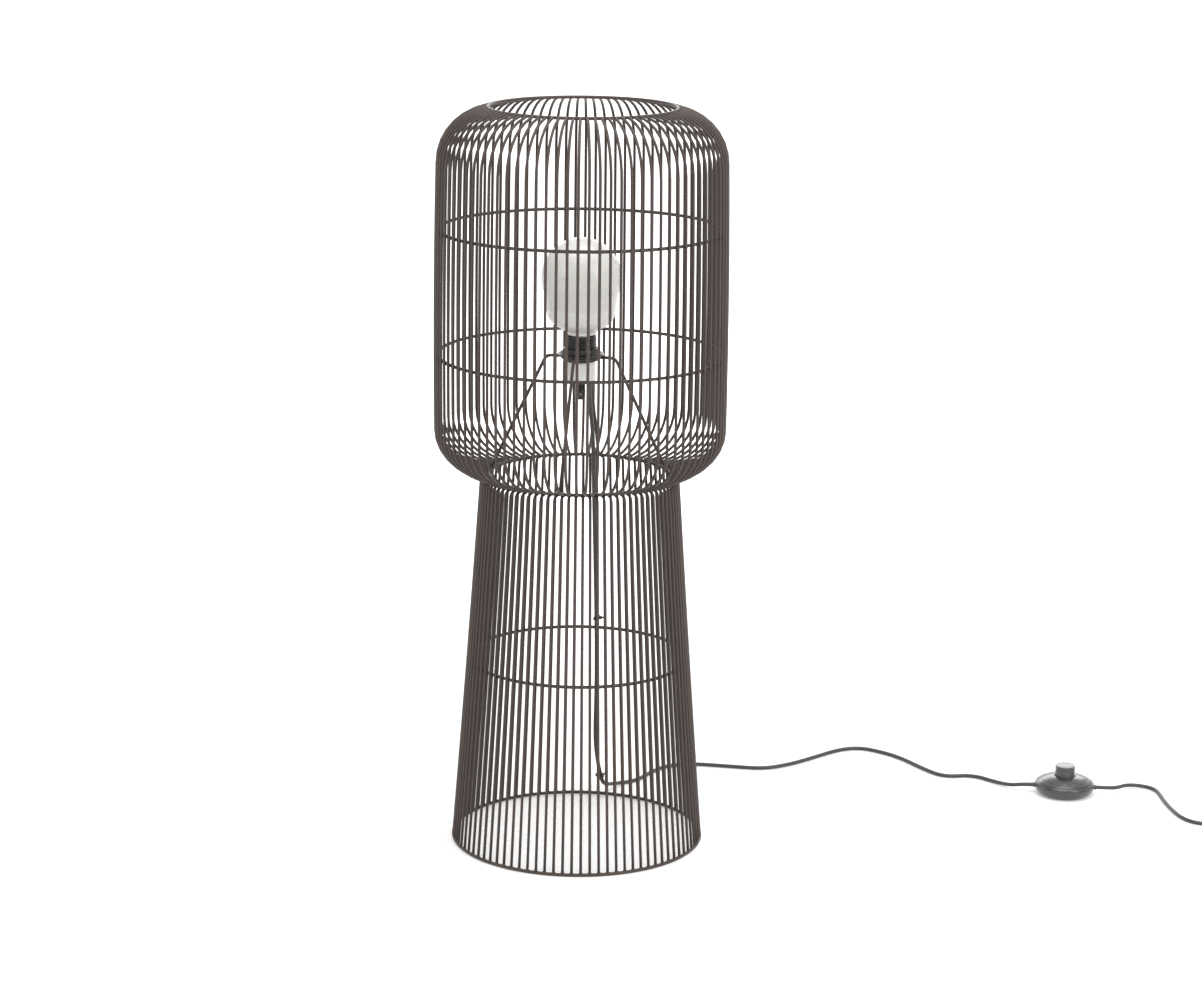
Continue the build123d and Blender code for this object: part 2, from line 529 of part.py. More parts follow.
# ---------------------------------------------------------------- lead
def corner_radii(points):
    """As large an arc at each corner as its two runs allow: 0.45 of the shorter run."""
    radii = []
    for before, here, after in zip(points, points[1:], points[2:]):
        run_in, run_out = Vector(*here) - Vector(*before), Vector(*after) - Vector(*here)
        half_turn = radians(run_in.get_angle(run_out)) / 2
        radii.append(0.45 * min(run_in.length, run_out.length) / tan(half_turn))
    return radii


def tube(path, name, sides=CORD_SIDES):
    """A cord of even section along a path, with its volume checked against section times length."""
    with BuildPart() as cord:
        with BuildLine():
            add(path)
        with BuildSketch(Plane(origin=path @ 0, z_dir=path % 0)):
            RegularPolygon(CORD / 2, sides)
        sweep()
    section = sides / 2 * (CORD / 2) ** 2 * sin(2 * pi / sides)
    print(f"{name}: length {path.length:.0f}, volume / (section x length) "
          f"{cord.part.volume / (section * path.length):.4f}")
    save(cord.part, name)
    return path.length


def laid(points):
    """A free stretch of the lead through points chosen by hand."""
    radii = corner_radii(points)
    print("radii of a stretch:", " ".join(f"{r:.0f}" for r in radii))
    with BuildLine() as route:
        FilletPolyline(*points, radius=radii)
    return Wire(route.edges())


ON_FLOOR = CORD / 2
cord_dir = switch_axis.x_dir
entry = Vector(SWITCH_X, SWITCH_Y, SWITCH_CORD_HEIGHT) - cord_dir * (SWITCH_RADIUS + 2 * WELD_GAP)
exit_ = Vector(SWITCH_X, SWITCH_Y, SWITCH_CORD_HEIGHT) + cord_dir * (SWITCH_RADIUS + 2 * WELD_GAP)

# From the holder the cord hangs to the back of the mid hoop, is tied to a wire there and again
# just above the foot ring, slips out between two wires and wanders over the floor to the switch.
LAMP_ROUTE = [
    (GLAND_OFFSET, 0.0, gland_bottom - WELD_GAP), (GLAND_OFFSET, 0.0, 548.0), (15.8, 14.0, 505.0),
    (17.6, 42.0, 420.0), (22.9, 125.9, 239.0), (23.8, 134.6, 145.0), (22.3, 138.8, 80.0),
    (26.4, 141.4, 46.0), (30.8, 143.4, 24.5), (34.6, 153.5, 12.8), (44.6, 173.0, 6.4),
    (57.0, 189.5, ON_FLOOR), (70.0, 194.5, ON_FLOOR), (83.0, 209.0, ON_FLOOR),
    (97.0, 234.0, ON_FLOOR), (114.0, 257.0, ON_FLOOR), (137.0, 267.0, ON_FLOOR),
    (160.0, 269.0, ON_FLOOR), (204.0, 260.0, ON_FLOOR),
    (246.0, 252.0, ON_FLOOR), (281.0, 271.0, ON_FLOOR), (314.0, 300.0, ON_FLOOR),
    (348.0, 333.0, ON_FLOOR), (378.0, 345.0, ON_FLOOR), (405.0, 329.0, ON_FLOOR),
    (431.0, 303.0, ON_FLOOR), (456.0, 258.0, ON_FLOOR), (480.0, 225.0, ON_FLOOR),
    (518.0, 234.0, ON_FLOOR), (545.0, 206.0, ON_FLOOR), (562.0, 187.0, 4.8),
    tuple(entry - cord_dir * 14.0), tuple(entry),
]
lamp_path = laid(LAMP_ROUTE)
lamp_length = tube(lamp_path, "cord_lamp")


def biarc(start, start_dir, end, end_dir):
    """Two arcs that leave start along start_dir and reach end along end_dir."""
    chord, both = end - start, start_dir + end_dir
    bend_share = 2 * (1 - start_dir.dot(end_dir))
    reach = chord.dot(both)
    if bend_share < 1e-9:
        arm = chord.dot(chord) / (2 * reach)
    else:
        arm = (sqrt(reach ** 2 + bend_share * chord.dot(chord)) - reach) / bend_share
    middle = (start + start_dir * arm + end - end_dir * arm) * 0.5
    first = TangentArc(start, middle, tangent=start_dir, mode=Mode.PRIVATE)
    second = TangentArc(middle, end, tangent=first % 1, mode=Mode.PRIVATE)
    return [first, second]


def coil_point(turns):
    """Centre of the coiled cord and its direction, so many turns from where it starts."""
    half = COIL_LOOPS / 2
    from_middle = abs(turns - half)
    radius = COIL_RADIUS + COIL_PITCH * (from_middle - half / 2)
    rate = COIL_PITCH * (0 if turns == half else (1 if turns > half else -1)) / (2 * pi)
    climb = min(max((turns - half) / 0.25, -1), 1)
    rise = COIL_PITCH / (pi * radius) * 2 if abs(climb) < 1e-6 else 0
    angle = pi / 2 - 2 * pi * turns
    out, along = Vector(cos(angle), sin(angle), 0), Vector(sin(angle), -cos(angle), 0)
    centre = Vector(COIL_CENTRE[0], COIL_CENTRE[1], ON_FLOOR + COIL_PITCH * (1 + climb) / 2)
    return centre + out * radius, (along * radius + out * rate + Vector(0, 0, rise * radius)).normalized()


coil_edges = []
for quarter in range(4 * COIL_LOOPS):
    here, after = coil_point(quarter / 4), coil_point((quarter + 1) / 4)
    coil_edges += biarc(*here, *after)
(coil_start, start_dir), (coil_end, end_dir) = coil_point(0), coil_point(COIL_LOOPS)
coil_in, coil_out = coil_start - start_dir * CORD, coil_end + end_dir * CORD
coil_edges = [Line(coil_in, coil_start)] + coil_edges + [Line(coil_end, coil_out)]
coil_path = Wire(coil_edges)
coil_length = tube(coil_path, "cord_coil")

# least gap between any two turns, measured on points a quarter of a turn or more apart
COIL_SAMPLES = 600
samples = [coil_path @ (i / COIL_SAMPLES) for i in range(COIL_SAMPLES + 1)]
apart = COIL_SAMPLES // (4 * COIL_LOOPS)
least = min((a - b).length for i, a in enumerate(samples) for b in samples[i + apart:])
print(f"cord_coil: least gap to itself {least - CORD:.2f}")

MAINS_ROUTE = [
    tuple(exit_), tuple(exit_ + cord_dir * 13.0), (693.0, 170.5, 7.8), (701.5, 178.5, 6.3), (711.8, 190.8, 4.8),
    (726.7, 195.1, 3.5), (741.4, 190.0, 2.7), (750.5, 177.5, ON_FLOOR),
    (752.0, 134.0, ON_FLOOR), (756.0, 102.0, ON_FLOOR),
    (761.5, 75.0, ON_FLOOR), (772.0, 56.5, ON_FLOOR), (790.0, 48.0, ON_FLOOR),
    (813.0, 48.5, ON_FLOOR), tuple(coil_in - start_dir * 18.0), tuple(coil_in),
]
mains_length = tube(laid(MAINS_ROUTE), "cord_mains")

plug_turn = radians(PLUG_TURN)
plug_dir = Vector(cos(plug_turn), sin(plug_turn), 0)
plug_axis = Plane(origin=(PLUG_X, PLUG_Y, PLUG_THICK / 2), x_dir=plug_dir)
tail_end = plug_axis.origin - plug_dir * (PLUG_TAIL + WELD_GAP)
TAIL_ROUTE = [
    tuple(coil_out), tuple(coil_out + end_dir * 15.0), (895.0, 51.0, 7.6),
    tuple(tail_end - plug_dir * 16.0), tuple(tail_end),
]
tail_length = tube(laid(TAIL_ROUTE), "cord_tail")
print(f"lead: {lamp_length + mains_length + coil_length + tail_length:.0f} in all")


def tie(height, slack, name_turn):
    """A closed band round one base wire and the cord beside it, with its lock block."""
    on_path = min((lamp_path @ (i / 4000) for i in range(2001)), key=lambda p: abs(p.Z - height))
    wire_at = at_azimuth(base_radius(height), TIE_WIRE_AZIMUTH, height)
    span = Vector(on_path.X - wire_at.X, on_path.Y - wire_at.Y, 0)
    middle = Vector((on_path.X + wire_at.X) / 2, (on_path.Y + wire_at.Y) / 2, height - TIE_WIDTH / 2)
    across = CORD + 2 * slack
    with BuildPart() as band:
        with BuildSketch(Plane(origin=middle, x_dir=span.normalized())):
            SlotCenterToCenter(span.length, across + 2 * TIE_THICK)
            with Locations((0, name_turn * (across / 2 + TIE_THICK))):
                Rectangle(TIE_BLOCK, 2 * TIE_THICK)
            SlotCenterToCenter(span.length, across, mode=Mode.SUBTRACT)
        extrude(amount=TIE_WIDTH)
    return band.part


with BuildPart() as ties:
    add(tie(TIE_HEIGHTS[0], TIE_CLEARANCE, 1))
    add(tie(TIE_HEIGHTS[1], TIE_CLEARANCE + 0.35, 1))
save(ties.part, "cable_ties")

# ---------------------------------------------------------------- plug
with BuildPart() as plug_body:
    with BuildSketch(plug_axis):
        with BuildLine():
            Polyline((0, -5.5), (0, 5.5), (7, 9.0), (PLUG_LENGTH - 17, PLUG_WIDTH / 2),
                     (PLUG_LENGTH, PLUG_WIDTH / 2), (PLUG_LENGTH, -PLUG_WIDTH / 2),
                     (PLUG_LENGTH - 17, -PLUG_WIDTH / 2), (7, -9.0), close=True)
        make_face()
    extrude(amount=PLUG_THICK / 2, both=True)
    chamfer(plug_body.faces().filter_by(Axis.Z).edges(), 1.6)
    # ribbed strain relief, widest at the body
    back = Plane(origin=plug_axis.origin + plug_dir, x_dir=(0, 0, 1), z_dir=-plug_dir)
    rib = PLUG_TAIL / 7
    round_body([(0, 4.6), (1 + rib, 4.6)], SMALL_SIDES, base=back)
    round_body([(1 + rib, 3.3), (1 + 6 * rib, 3.0)], SMALL_SIDES, base=back)
    for start, wide in ((2, 4.3), (4, 4.0), (6, 3.7)):
        round_body([(1 + start * rib, wide), (1 + (start + 1) * rib, wide)], SMALL_SIDES, base=back)
save(plug_body.part, "plug_body")

pin_face = Plane(origin=plug_axis.origin + plug_dir * (PLUG_LENGTH + WELD_GAP),
                 x_dir=plug_axis.y_dir, z_dir=plug_dir)
with BuildPart() as plug_sleeves:
    with BuildSketch(pin_face):
        with GridLocations(PIN_SPACING, 1, 2, 1):
            RegularPolygon(PIN_RADIUS + 0.1, SMALL_SIDES)
    extrude(amount=PIN_SLEEVE)
save(plug_sleeves.part, "plug_pin_sleeves")
with BuildPart() as plug_pins:
    with BuildSketch(pin_face.offset(PIN_SLEEVE + WELD_GAP)):
        with GridLocations(PIN_SPACING, 1, 2, 1):
            RegularPolygon(PIN_RADIUS, SMALL_SIDES)
    extrude(amount=PIN_LENGTH - PIN_SLEEVE)
    chamfer(plug_pins.faces().sort_by(Axis(plug_axis.origin, plug_dir))[-2:].edges(), 0.7)
save(plug_pins.part, "plug_pins")
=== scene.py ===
import bpy
import numpy as np
from mathutils import Matrix, Vector


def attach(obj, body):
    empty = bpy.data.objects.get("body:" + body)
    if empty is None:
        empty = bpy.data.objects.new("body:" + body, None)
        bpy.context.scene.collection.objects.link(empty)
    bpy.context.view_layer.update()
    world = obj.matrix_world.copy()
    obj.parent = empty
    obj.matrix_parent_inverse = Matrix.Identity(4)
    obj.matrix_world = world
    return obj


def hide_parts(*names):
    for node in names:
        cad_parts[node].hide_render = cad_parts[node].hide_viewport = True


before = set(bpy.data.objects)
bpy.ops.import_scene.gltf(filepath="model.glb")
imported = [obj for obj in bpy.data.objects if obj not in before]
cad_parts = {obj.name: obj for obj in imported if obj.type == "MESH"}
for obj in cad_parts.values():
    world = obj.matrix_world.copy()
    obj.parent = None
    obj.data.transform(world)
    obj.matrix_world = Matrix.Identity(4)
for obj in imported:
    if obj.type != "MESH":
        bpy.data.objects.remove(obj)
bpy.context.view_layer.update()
print("frame loaded")

mm = 0.001


# shapes worked out with numpy

def wholeTurn(steps):
    # angles spread evenly round a circle
    return np.linspace(0, 2 * np.pi, steps, endpoint=False)


def tubeFaces(rows, cols, closed=False):
    # quads between neighbouring points of a grid that wraps round each row; a closed tube joins its
    # last row to its first, and an open one gets a flat cap over each end
    i = np.arange(rows if closed else rows - 1)[:, None]
    j = np.arange(cols)[None, :]
    a = i * cols + j
    b = i * cols + (j + 1) % cols
    c = ((i + 1) % rows) * cols + (j + 1) % cols
    d = ((i + 1) % rows) * cols + j
    quads = np.stack([a, b, c, d], -1).reshape(-1, 4)
    return [quads] if closed else [quads, j[:, ::-1], j + (rows - 1) * cols]


def makePiece(name, points, faces, material, smooth=True, sharp=None):
    # fills a mesh from arrays; each array of faces holds faces with the same number of corners
    mesh = bpy.data.meshes.new(name)
    loops = np.concatenate([g.ravel() for g in faces])
    sizes = np.concatenate([np.full(len(g), g.shape[1]) for g in faces])
    starts = np.concatenate([[0], np.cumsum(sizes)[:-1]])
    mesh.vertices.add(len(points))
    mesh.vertices.foreach_set("co", np.asarray(points, np.float32).ravel())
    mesh.loops.add(len(loops))
    mesh.loops.foreach_set("vertex_index", loops.astype(np.int32))
    mesh.polygons.add(len(sizes))
    mesh.polygons.foreach_set("loop_start", starts.astype(np.int32))
    mesh.polygons.foreach_set("use_smooth", np.full(len(sizes), smooth))
    mesh.update(calc_edges=True)
    mesh.validate()
    if sharp:
        mesh.set_sharp_from_angle(angle=np.radians(sharp))
    piece = bpy.data.objects.new(name, mesh)
    bpy.context.scene.collection.objects.link(piece)
    piece.data.materials.append(material)
    return piece


def roundSection(radius, sides):
    a = wholeTurn(sides)
    return radius * np.stack([np.cos(a), np.sin(a)], 1)


def squared(value, power):
    # a cosine or sine raised to a power with its sign kept; a power below 1 turns a circle boxy
    return np.sign(value) * np.abs(value) ** power


def boxSection(wide, tall, sides=12, power=0.35):
    # a rounded rectangle: half width * cos a and half height * sin a, each raised to a small power
    a = wholeTurn(sides) + np.pi / sides
    return np.stack([wide / 2 * squared(np.cos(a), power), tall / 2 * squared(np.sin(a), power)], 1)


def carried(path, section, closed=False, flat=(0, 0, 1), swell=1.0):
    # a section carried along a path: at each point, centre + swell * (u * side + v * up), where side
    # and up are square to the path's direction; swell may change along the path
    path = np.asarray(path, float)
    if closed:
        along = np.roll(path, -1, 0) - np.roll(path, 1, 0)
    else:
        along = np.gradient(path, axis=0)
    along /= np.linalg.norm(along, axis=1, keepdims=True)
    side = np.cross(along, np.asarray(flat, float))
    side /= np.linalg.norm(side, axis=1, keepdims=True)
    up = np.cross(side, along)
    grow = np.broadcast_to(np.asarray(swell, float), (len(path),))[:, None, None]
    ring = section[None, :, :1] * side[:, None] + section[None, :, 1:] * up[:, None]
    points = (path[:, None] + grow * ring).reshape(-1, 3)
    return points, [g[:, ::-1] for g in tubeFaces(len(path), len(section), closed)]


def turned(profile, sides, centre=(0.0, 0.0), closed=False, change=None):
    # a surface of revolution: each (radius, height) of the profile goes once round the upright axis;
    # change(radius, height, angle) may give the radius back altered, as for a thread or flutes
    profile = np.asarray(profile, float)
    a = wholeTurn(sides)[None, :]
    r, z = profile[:, :1] + 0 * a, profile[:, 1:] + 0 * a
    if change:
        r = change(r, z, a + 0 * r)
    points = np.stack([centre[0] + r * np.cos(a), centre[1] + r * np.sin(a), z], -1)
    return points.reshape(-1, 3), tubeFaces(len(profile), sides, closed)


def softened(profile, rounds):
    # corners cut again and again: each run gives way to its points at one and at three quarters
    profile = np.asarray(profile, float)
    for _ in range(rounds):
        before, after = profile[:-1], profile[1:]
        cut = np.stack([before + (after - before) / 4, after + (before - after) / 4], 1)
        profile = np.concatenate([profile[:1], cut.reshape(-1, 2), profile[-1:]])
    return profile


def filleted(corners, rounding, steps=4, closed=False):
    # each corner gives way to a quadratic curve between two cut points, which lie its rounding away
    # along both runs, but never past 45% of a run; the ends of an open line stay
    corners = np.asarray(corners, float)
    n = len(corners)
    sizes = np.broadcast_to(np.asarray(rounding, float), (n,))
    t = np.linspace(0, 1, steps)[:, None]
    out = []
    for i in range(n):
        here, before, after = corners[i], corners[i - 1], corners[(i + 1) % n]
        if not closed and i in (0, n - 1):
            out.append(here[None])
            continue
        u, v = before - here, after - here
        reach = min(sizes[i], 0.45 * np.linalg.norm(u), 0.45 * np.linalg.norm(v))
        a, b = here + u / np.linalg.norm(u) * reach, here + v / np.linalg.norm(v) * reach
        out.append((1 - t) ** 2 * a + 2 * t * (1 - t) * here + t ** 2 * b)
    return np.concatenate(out)


def outlined(rows, steps=4, closed=False):
    # a filleted outline from rows of (radius, height, rounding) in millimetres
    rows = np.array(rows, float) * mm
    return filleted(rows[:, :2], rows[:, 2], steps, closed)


def packedRows(profile, gap):
    # more rows on the long runs of a profile, none further apart than gap
    profile = np.asarray(profile, float)
    out = []
    for a, b in zip(profile[:-1], profile[1:]):
        n = max(1, int(np.ceil(np.linalg.norm(b - a) / gap)))
        out.append(a + (b - a) * (np.arange(n) / n)[:, None])
    return np.concatenate(out + [profile[-1:]])


def roundedBlock(size, centre, turn, power=0.3, rows=11, cols=24):
    # a block with soft edges: cos and sin of the two angles, each raised to a small power
    lat = np.radians(np.linspace(-88, 88, rows))[:, None]
    lon = wholeTurn(cols)[None, :] + np.pi / cols
    x = size[0] / 2 * squared(np.cos(lat), power) * squared(np.cos(lon), power)
    y = size[1] / 2 * squared(np.cos(lat), power) * squared(np.sin(lon), power)
    z = size[2] / 2 * squared(np.sin(lat), power) + 0 * lon
    c, s = np.cos(turn), np.sin(turn)
    points = np.stack([centre[0] + c * x - s * y, centre[1] + s * x + c * y, centre[2] + z], -1)
    return points.reshape(-1, 3), tubeFaces(rows, cols)


def placedRound(points, faces, azimuths):
    # copies of one shape about the lamp's axis, turned by each azimuth (0 is the front, -Y)
    t = np.radians(np.asarray(azimuths) - 90.0)
    c, s = np.cos(t)[:, None], np.sin(t)[:, None]
    x, y, z = points[:, 0][None], points[:, 1][None], points[:, 2][None]
    out = np.stack([c * x - s * y, s * x + c * y, z + 0 * c], -1).reshape(-1, 3)
    step = len(points) * np.arange(len(t))[:, None, None]
    return out, [(g[None] + step).reshape(-1, g.shape[1]) for g in faces]


def joined(*shapes):
    # several (points, faces) shapes as one
    points, faces, start = [], [], 0
    for p, f in shapes:
        points.append(np.asarray(p))
        faces += [g + start for g in f]
        start += len(p)
    return np.concatenate(points), faces


# shader node groups, shared by the finishes

def newGroup(name, inputs, outputs):
    group = bpy.data.node_groups.new(name, "ShaderNodeTree")
    for label, kind, value in inputs:
        socket = group.interface.new_socket(name=label, in_out="INPUT", socket_type=kind)
        socket.default_value = value
    for label, kind in outputs:
        group.interface.new_socket(name=label, in_out="OUTPUT", socket_type=kind)
    return group, group.nodes.new("NodeGroupInput"), group.nodes.new("NodeGroupOutput")


def link(tree, a, b):
    tree.links.new(a, b)


def mathNode(tree, kind, *values, clamp=False):
    # a maths node whose sockets take numbers, or the outputs of other nodes, in their order
    node = tree.nodes.new("ShaderNodeMath")
    node.operation = kind
    node.use_clamp = clamp
    for socket, value in zip(node.inputs, values):
        if isinstance(value, (int, float)):
            socket.default_value = value
        else:
            link(tree, value, socket)
    return node.outputs[0]


def seenRays(tree):
    # 1 for rays from the eye, by way of a reflection or through glass; 0 for rays that only light
    rays = tree.nodes.new("ShaderNodeLightPath")
    seen = mathNode(tree, "MAXIMUM", rays.outputs["Is Camera Ray"], rays.outputs["Is Glossy Ray"])
    return mathNode(tree, "MAXIMUM", seen, rays.outputs["Is Transmission Ray"])


def noiseNode(tree, place, scale, detail):
    node = tree.nodes.new("ShaderNodeTexNoise")
    node.inputs["Detail"].default_value = detail
    link(tree, place.outputs["Object"], node.inputs["Vector"])
    link(tree, scale, node.inputs["Scale"])
    return node.outputs["Fac"]


def buildGrain():
    # a fine even grain with a slow drift over it: colour drift, roughness drift and a height
    tree, given, out = newGroup("surfaceGrain", [
        ("Colour", "NodeSocketColor", (0.5, 0.5, 0.5, 1)), ("Drift", "NodeSocketFloat", 0.1),
        ("DriftScale", "NodeSocketFloat", 30.0), ("Roughness", "NodeSocketFloat", 0.5),
        ("RoughDrift", "NodeSocketFloat", 0.1), ("GrainScale", "NodeSocketFloat", 2500.0)],
        [("Colour", "NodeSocketColor"), ("Roughness", "NodeSocketFloat"),
         ("Height", "NodeSocketFloat")])
    place = tree.nodes.new("ShaderNodeTexCoord")
    slow = noiseNode(tree, place, given.outputs["DriftScale"], 4)
    fine = noiseNode(tree, place, given.outputs["GrainScale"], 2)
    centred = mathNode(tree, "SUBTRACT", slow, 0.5)
    tint = tree.nodes.new("ShaderNodeHueSaturation")
    link(tree, given.outputs["Colour"], tint.inputs["Color"])
    value = mathNode(tree, "MULTIPLY_ADD", centred, given.outputs["Drift"], 1.0)
    link(tree, value, tint.inputs["Value"])
    link(tree, tint.outputs["Color"], out.inputs["Colour"])
    rough = mathNode(tree, "MULTIPLY", centred, given.outputs["RoughDrift"])
    rough = mathNode(tree, "ADD", rough, given.outputs["Roughness"], clamp=True)
    link(tree, rough, out.inputs["Roughness"])
    link(tree, fine, out.inputs["Height"])
    return tree


grainGroup = buildGrain()
finishes = {}


def setSockets(node, values):
    for label, value in values.items():
        node.inputs[label].default_value = value


def finish(name, colour, roughness, drift=0.12, driftScale=30.0, roughDrift=0.1, grainScale=2500.0,
           bump=0.1, bumpDepth=0.00005, metallic=0.0, coat=0.0, coatRoughness=0.1, specular=0.5,
           subsurface=0.0, subsurfaceScale=0.01):
    # a Principled shader fed by the grain group, kept under its name in finishes; plain numbers stay
    # on the shader's own sockets
    material = bpy.data.materials.new(name)
    material.use_nodes = True
    tree = material.node_tree
    shader = tree.nodes["Principled BSDF"]
    grain = tree.nodes.new("ShaderNodeGroup")
    grain.node_tree = grainGroup
    setSockets(grain, {"Colour": (*colour, 1), "Drift": drift, "DriftScale": driftScale,
                       "Roughness": roughness, "RoughDrift": roughDrift, "GrainScale": grainScale})
    link(tree, grain.outputs["Colour"], shader.inputs["Base Color"])
    link(tree, grain.outputs["Roughness"], shader.inputs["Roughness"])
    bumpNode = tree.nodes.new("ShaderNodeBump")
    setSockets(bumpNode, {"Strength": bump, "Distance": bumpDepth})
    link(tree, grain.outputs["Height"], bumpNode.inputs["Height"])
    link(tree, bumpNode.outputs["Normal"], shader.inputs["Normal"])
    setSockets(shader, {"Metallic": metallic, "Coat Weight": coat, "Coat Roughness": coatRoughness,
                        "Specular IOR Level": specular, "Subsurface Weight": subsurface})
    if subsurface:
        setSockets(shader, {"Subsurface Scale": subsurfaceScale})
    finishes[name] = material


finish("cagePaint", (0.067, 0.051, 0.044), 0.42, bump=0.03, roughDrift=0.08, grainScale=900,
       specular=0.3)
finish("blackPlastic", (0.0125, 0.0105, 0.0095), 0.20, roughDrift=0.05, bump=0.03, specular=0.42)
finish("capPlastic", (0.86, 0.83, 0.81), 0.38, drift=0.05, subsurface=0.12, bump=0.05)
finish("glandPlastic", (0.16, 0.15, 0.145), 0.4)
finish("coreCeramic", (0.75, 0.73, 0.70), 0.25, drift=0.05)
finish("contactBrass", (0.60, 0.43, 0.18), 0.3, metallic=1.0)
finish("opalGlass", (0.75, 0.74, 0.705), 0.09, drift=0.02, driftScale=8, roughDrift=0.02,
       bump=0.02, subsurface=0.2)
finish("collarPlastic", (0.80, 0.785, 0.755), 0.24, drift=0.03, subsurface=0.1, bump=0.04)
finish("capAluminium", (0.62, 0.62, 0.62), 0.28, metallic=1.0)
finish("insulatorBlack", (0.01, 0.01, 0.012), 0.2)
finish("contactTin", (0.5, 0.5, 0.5), 0.35, metallic=1.0)
finish("screwSteel", (0.20, 0.19, 0.18), 0.42, metallic=1.0)
finish("switchGrey", (0.044, 0.041, 0.040), 0.22, drift=0.08, coat=0.5, coatRoughness=0.14,
       bump=0.02, roughDrift=0.06)
finish("mechanism", (0.5, 0.47, 0.42), 0.5)
finish("cordSheath", (0.052, 0.046, 0.043), 0.42, bump=0.15, grainScale=1500)
finish("plugRubber", (0.030, 0.027, 0.025), 0.5, bump=0.2, grainScale=1200)
finish("tieNylon", (0.030, 0.027, 0.025), 0.35)
finish("pinBrass", (0.62, 0.60, 0.56), 0.22, metallic=1.0)
finish("padRubber", (0.02, 0.02, 0.02), 0.85, bump=0.3, grainScale=900)


def ridingPiece(name, shape, look, body, slot, *nodes, sharp=40):
    # a piece that moves with a body; where nodes are named, it shows in their place
    piece = makePiece(name, *shape, finishes[look], sharp=sharp)
    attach(piece, body)
    if nodes:
        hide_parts(*nodes)
    return piece


def cagePiece(name, shape, *nodes):
    ridingPiece(name, shape, "cagePaint", "lamp", "cage_paint", *nodes, sharp=None)
print("finishes ready")

# camera and backdrop

cameraSetup = {"lens": 93.653, "sensor": 36, "clip": 100, "distance": 3.668, "height": 1.311,
               "pitch": 13.58, "roll": 0.51, "shift": 0.0179}
camera = bpy.data.objects.new("camera", bpy.data.cameras.new("camera"))
bpy.context.scene.collection.objects.link(camera)
camera.data.lens = cameraSetup["lens"]
camera.data.sensor_width = cameraSetup["sensor"]
camera.data.shift_x = cameraSetup["shift"]
camera.data.clip_end = cameraSetup["clip"]
pitch, roll = np.radians(cameraSetup["pitch"]), np.radians(cameraSetup["roll"])
ahead = np.array([0, np.cos(pitch), -np.sin(pitch)])
upward = np.array([0, np.sin(pitch), np.cos(pitch)])
across = np.array([1.0, 0, 0])
axisX = np.cos(roll) * across + np.sin(roll) * upward
axisY = -np.sin(roll) * across + np.cos(roll) * upward
camera.matrix_world = Matrix([
    [axisX[0], axisY[0], -ahead[0], 0.0],
    [axisX[1], axisY[1], -ahead[1], -cameraSetup["distance"]],
    [axisX[2], axisY[2], -ahead[2], cameraSetup["height"]],
    [0, 0, 0, 1]])
bpy.context.scene.camera = camera
bpy.context.scene.view_settings.view_transform = "Standard"


stageSetup = {"half": 14.0, "drop": 0.4 * mm, "colour": (0.90, 0.895, 0.89), "roughness": 0.8,
              "specular": 0.1, "nearGlow": 0.26, "nearAt": 0.6, "farAt": 2.4}


def whiteWhenSeen(name, setup):
    # a pale floor that keeps the object's shadow; to the eye and in reflections it also glows a
    # little, more with the distance from the lamp, so that it ends paper white
    material = bpy.data.materials.new(name)
    material.use_nodes = True
    tree = material.node_tree
    shader = tree.nodes["Principled BSDF"]
    setSockets(shader, {"Base Color": (*setup["colour"], 1), "Roughness": setup["roughness"],
                        "Specular IOR Level": setup["specular"], "Emission Color": (1, 1, 1, 1)})
    place = tree.nodes.new("ShaderNodeTexCoord")
    away = tree.nodes.new("ShaderNodeVectorMath")
    away.operation = "LENGTH"
    link(tree, place.outputs["Object"], away.inputs[0])
    ramp = tree.nodes.new("ShaderNodeMapRange")
    setSockets(ramp, {"From Min": setup["nearAt"], "From Max": setup["farAt"],
                      "To Min": setup["nearGlow"], "To Max": 1.0})
    link(tree, away.outputs["Value"], ramp.inputs["Value"])
    glow = mathNode(tree, "MULTIPLY", seenRays(tree), ramp.outputs["Result"])
    link(tree, glow, shader.inputs["Emission Strength"])
    return material


floorCorners = np.array([(-1, -1, 0), (1, -1, 0), (1, 1, 0), (-1, 1, 0)]) * stageSetup["half"]
floor = makePiece("floor", floorCorners - [0, 0, stageSetup["drop"]], [np.array([[0, 1, 2, 3]])],
                  whiteWhenSeen("floorPaper", stageSetup), smooth=False)

worldGlow = {"light": 0.58, "seenExtra": 0.42}
world = bpy.data.worlds.new("studio")
bpy.context.scene.world = world
world.use_nodes = True
worldTree = world.node_tree
background = worldTree.nodes["Background"]
background.inputs["Color"].default_value = (1, 1, 1, 1)
strength = mathNode(worldTree, "MULTIPLY_ADD", seenRays(worldTree), worldGlow["seenExtra"],
                    worldGlow["light"])
link(worldTree, strength, background.inputs["Strength"])


def softbox(name, place, aim, size, power):
    lamp = bpy.data.objects.new(name, bpy.data.lights.new(name, "AREA"))
    bpy.context.scene.collection.objects.link(lamp)
    lamp.data.shape = "RECTANGLE"
    lamp.data.size, lamp.data.size_y = size
    lamp.data.energy = power
    lamp.location = place
    lamp.rotation_euler = (Vector(aim) - Vector(place)).to_track_quat("-Z", "Y").to_euler()


softbox("overheadBox", (0.3, -0.4, 3.4), (0, 0, 0.2), (3.2, 2.6), 66)
softbox("leftBox", (-2.6, -1.6, 1.9), (0, 0, 0.5), (1.4, 2.0), 16)
softbox("rightBox", (2.4, -2.2, 2.0), (0, 0, 0.5), (1.6, 2.2), 42)
softbox("backBox", (0.4, 3.6, 1.65), (0.2, 0, 0.2), (3.6, 1.3), 34)
print("camera, floor and lights ready")

# cage

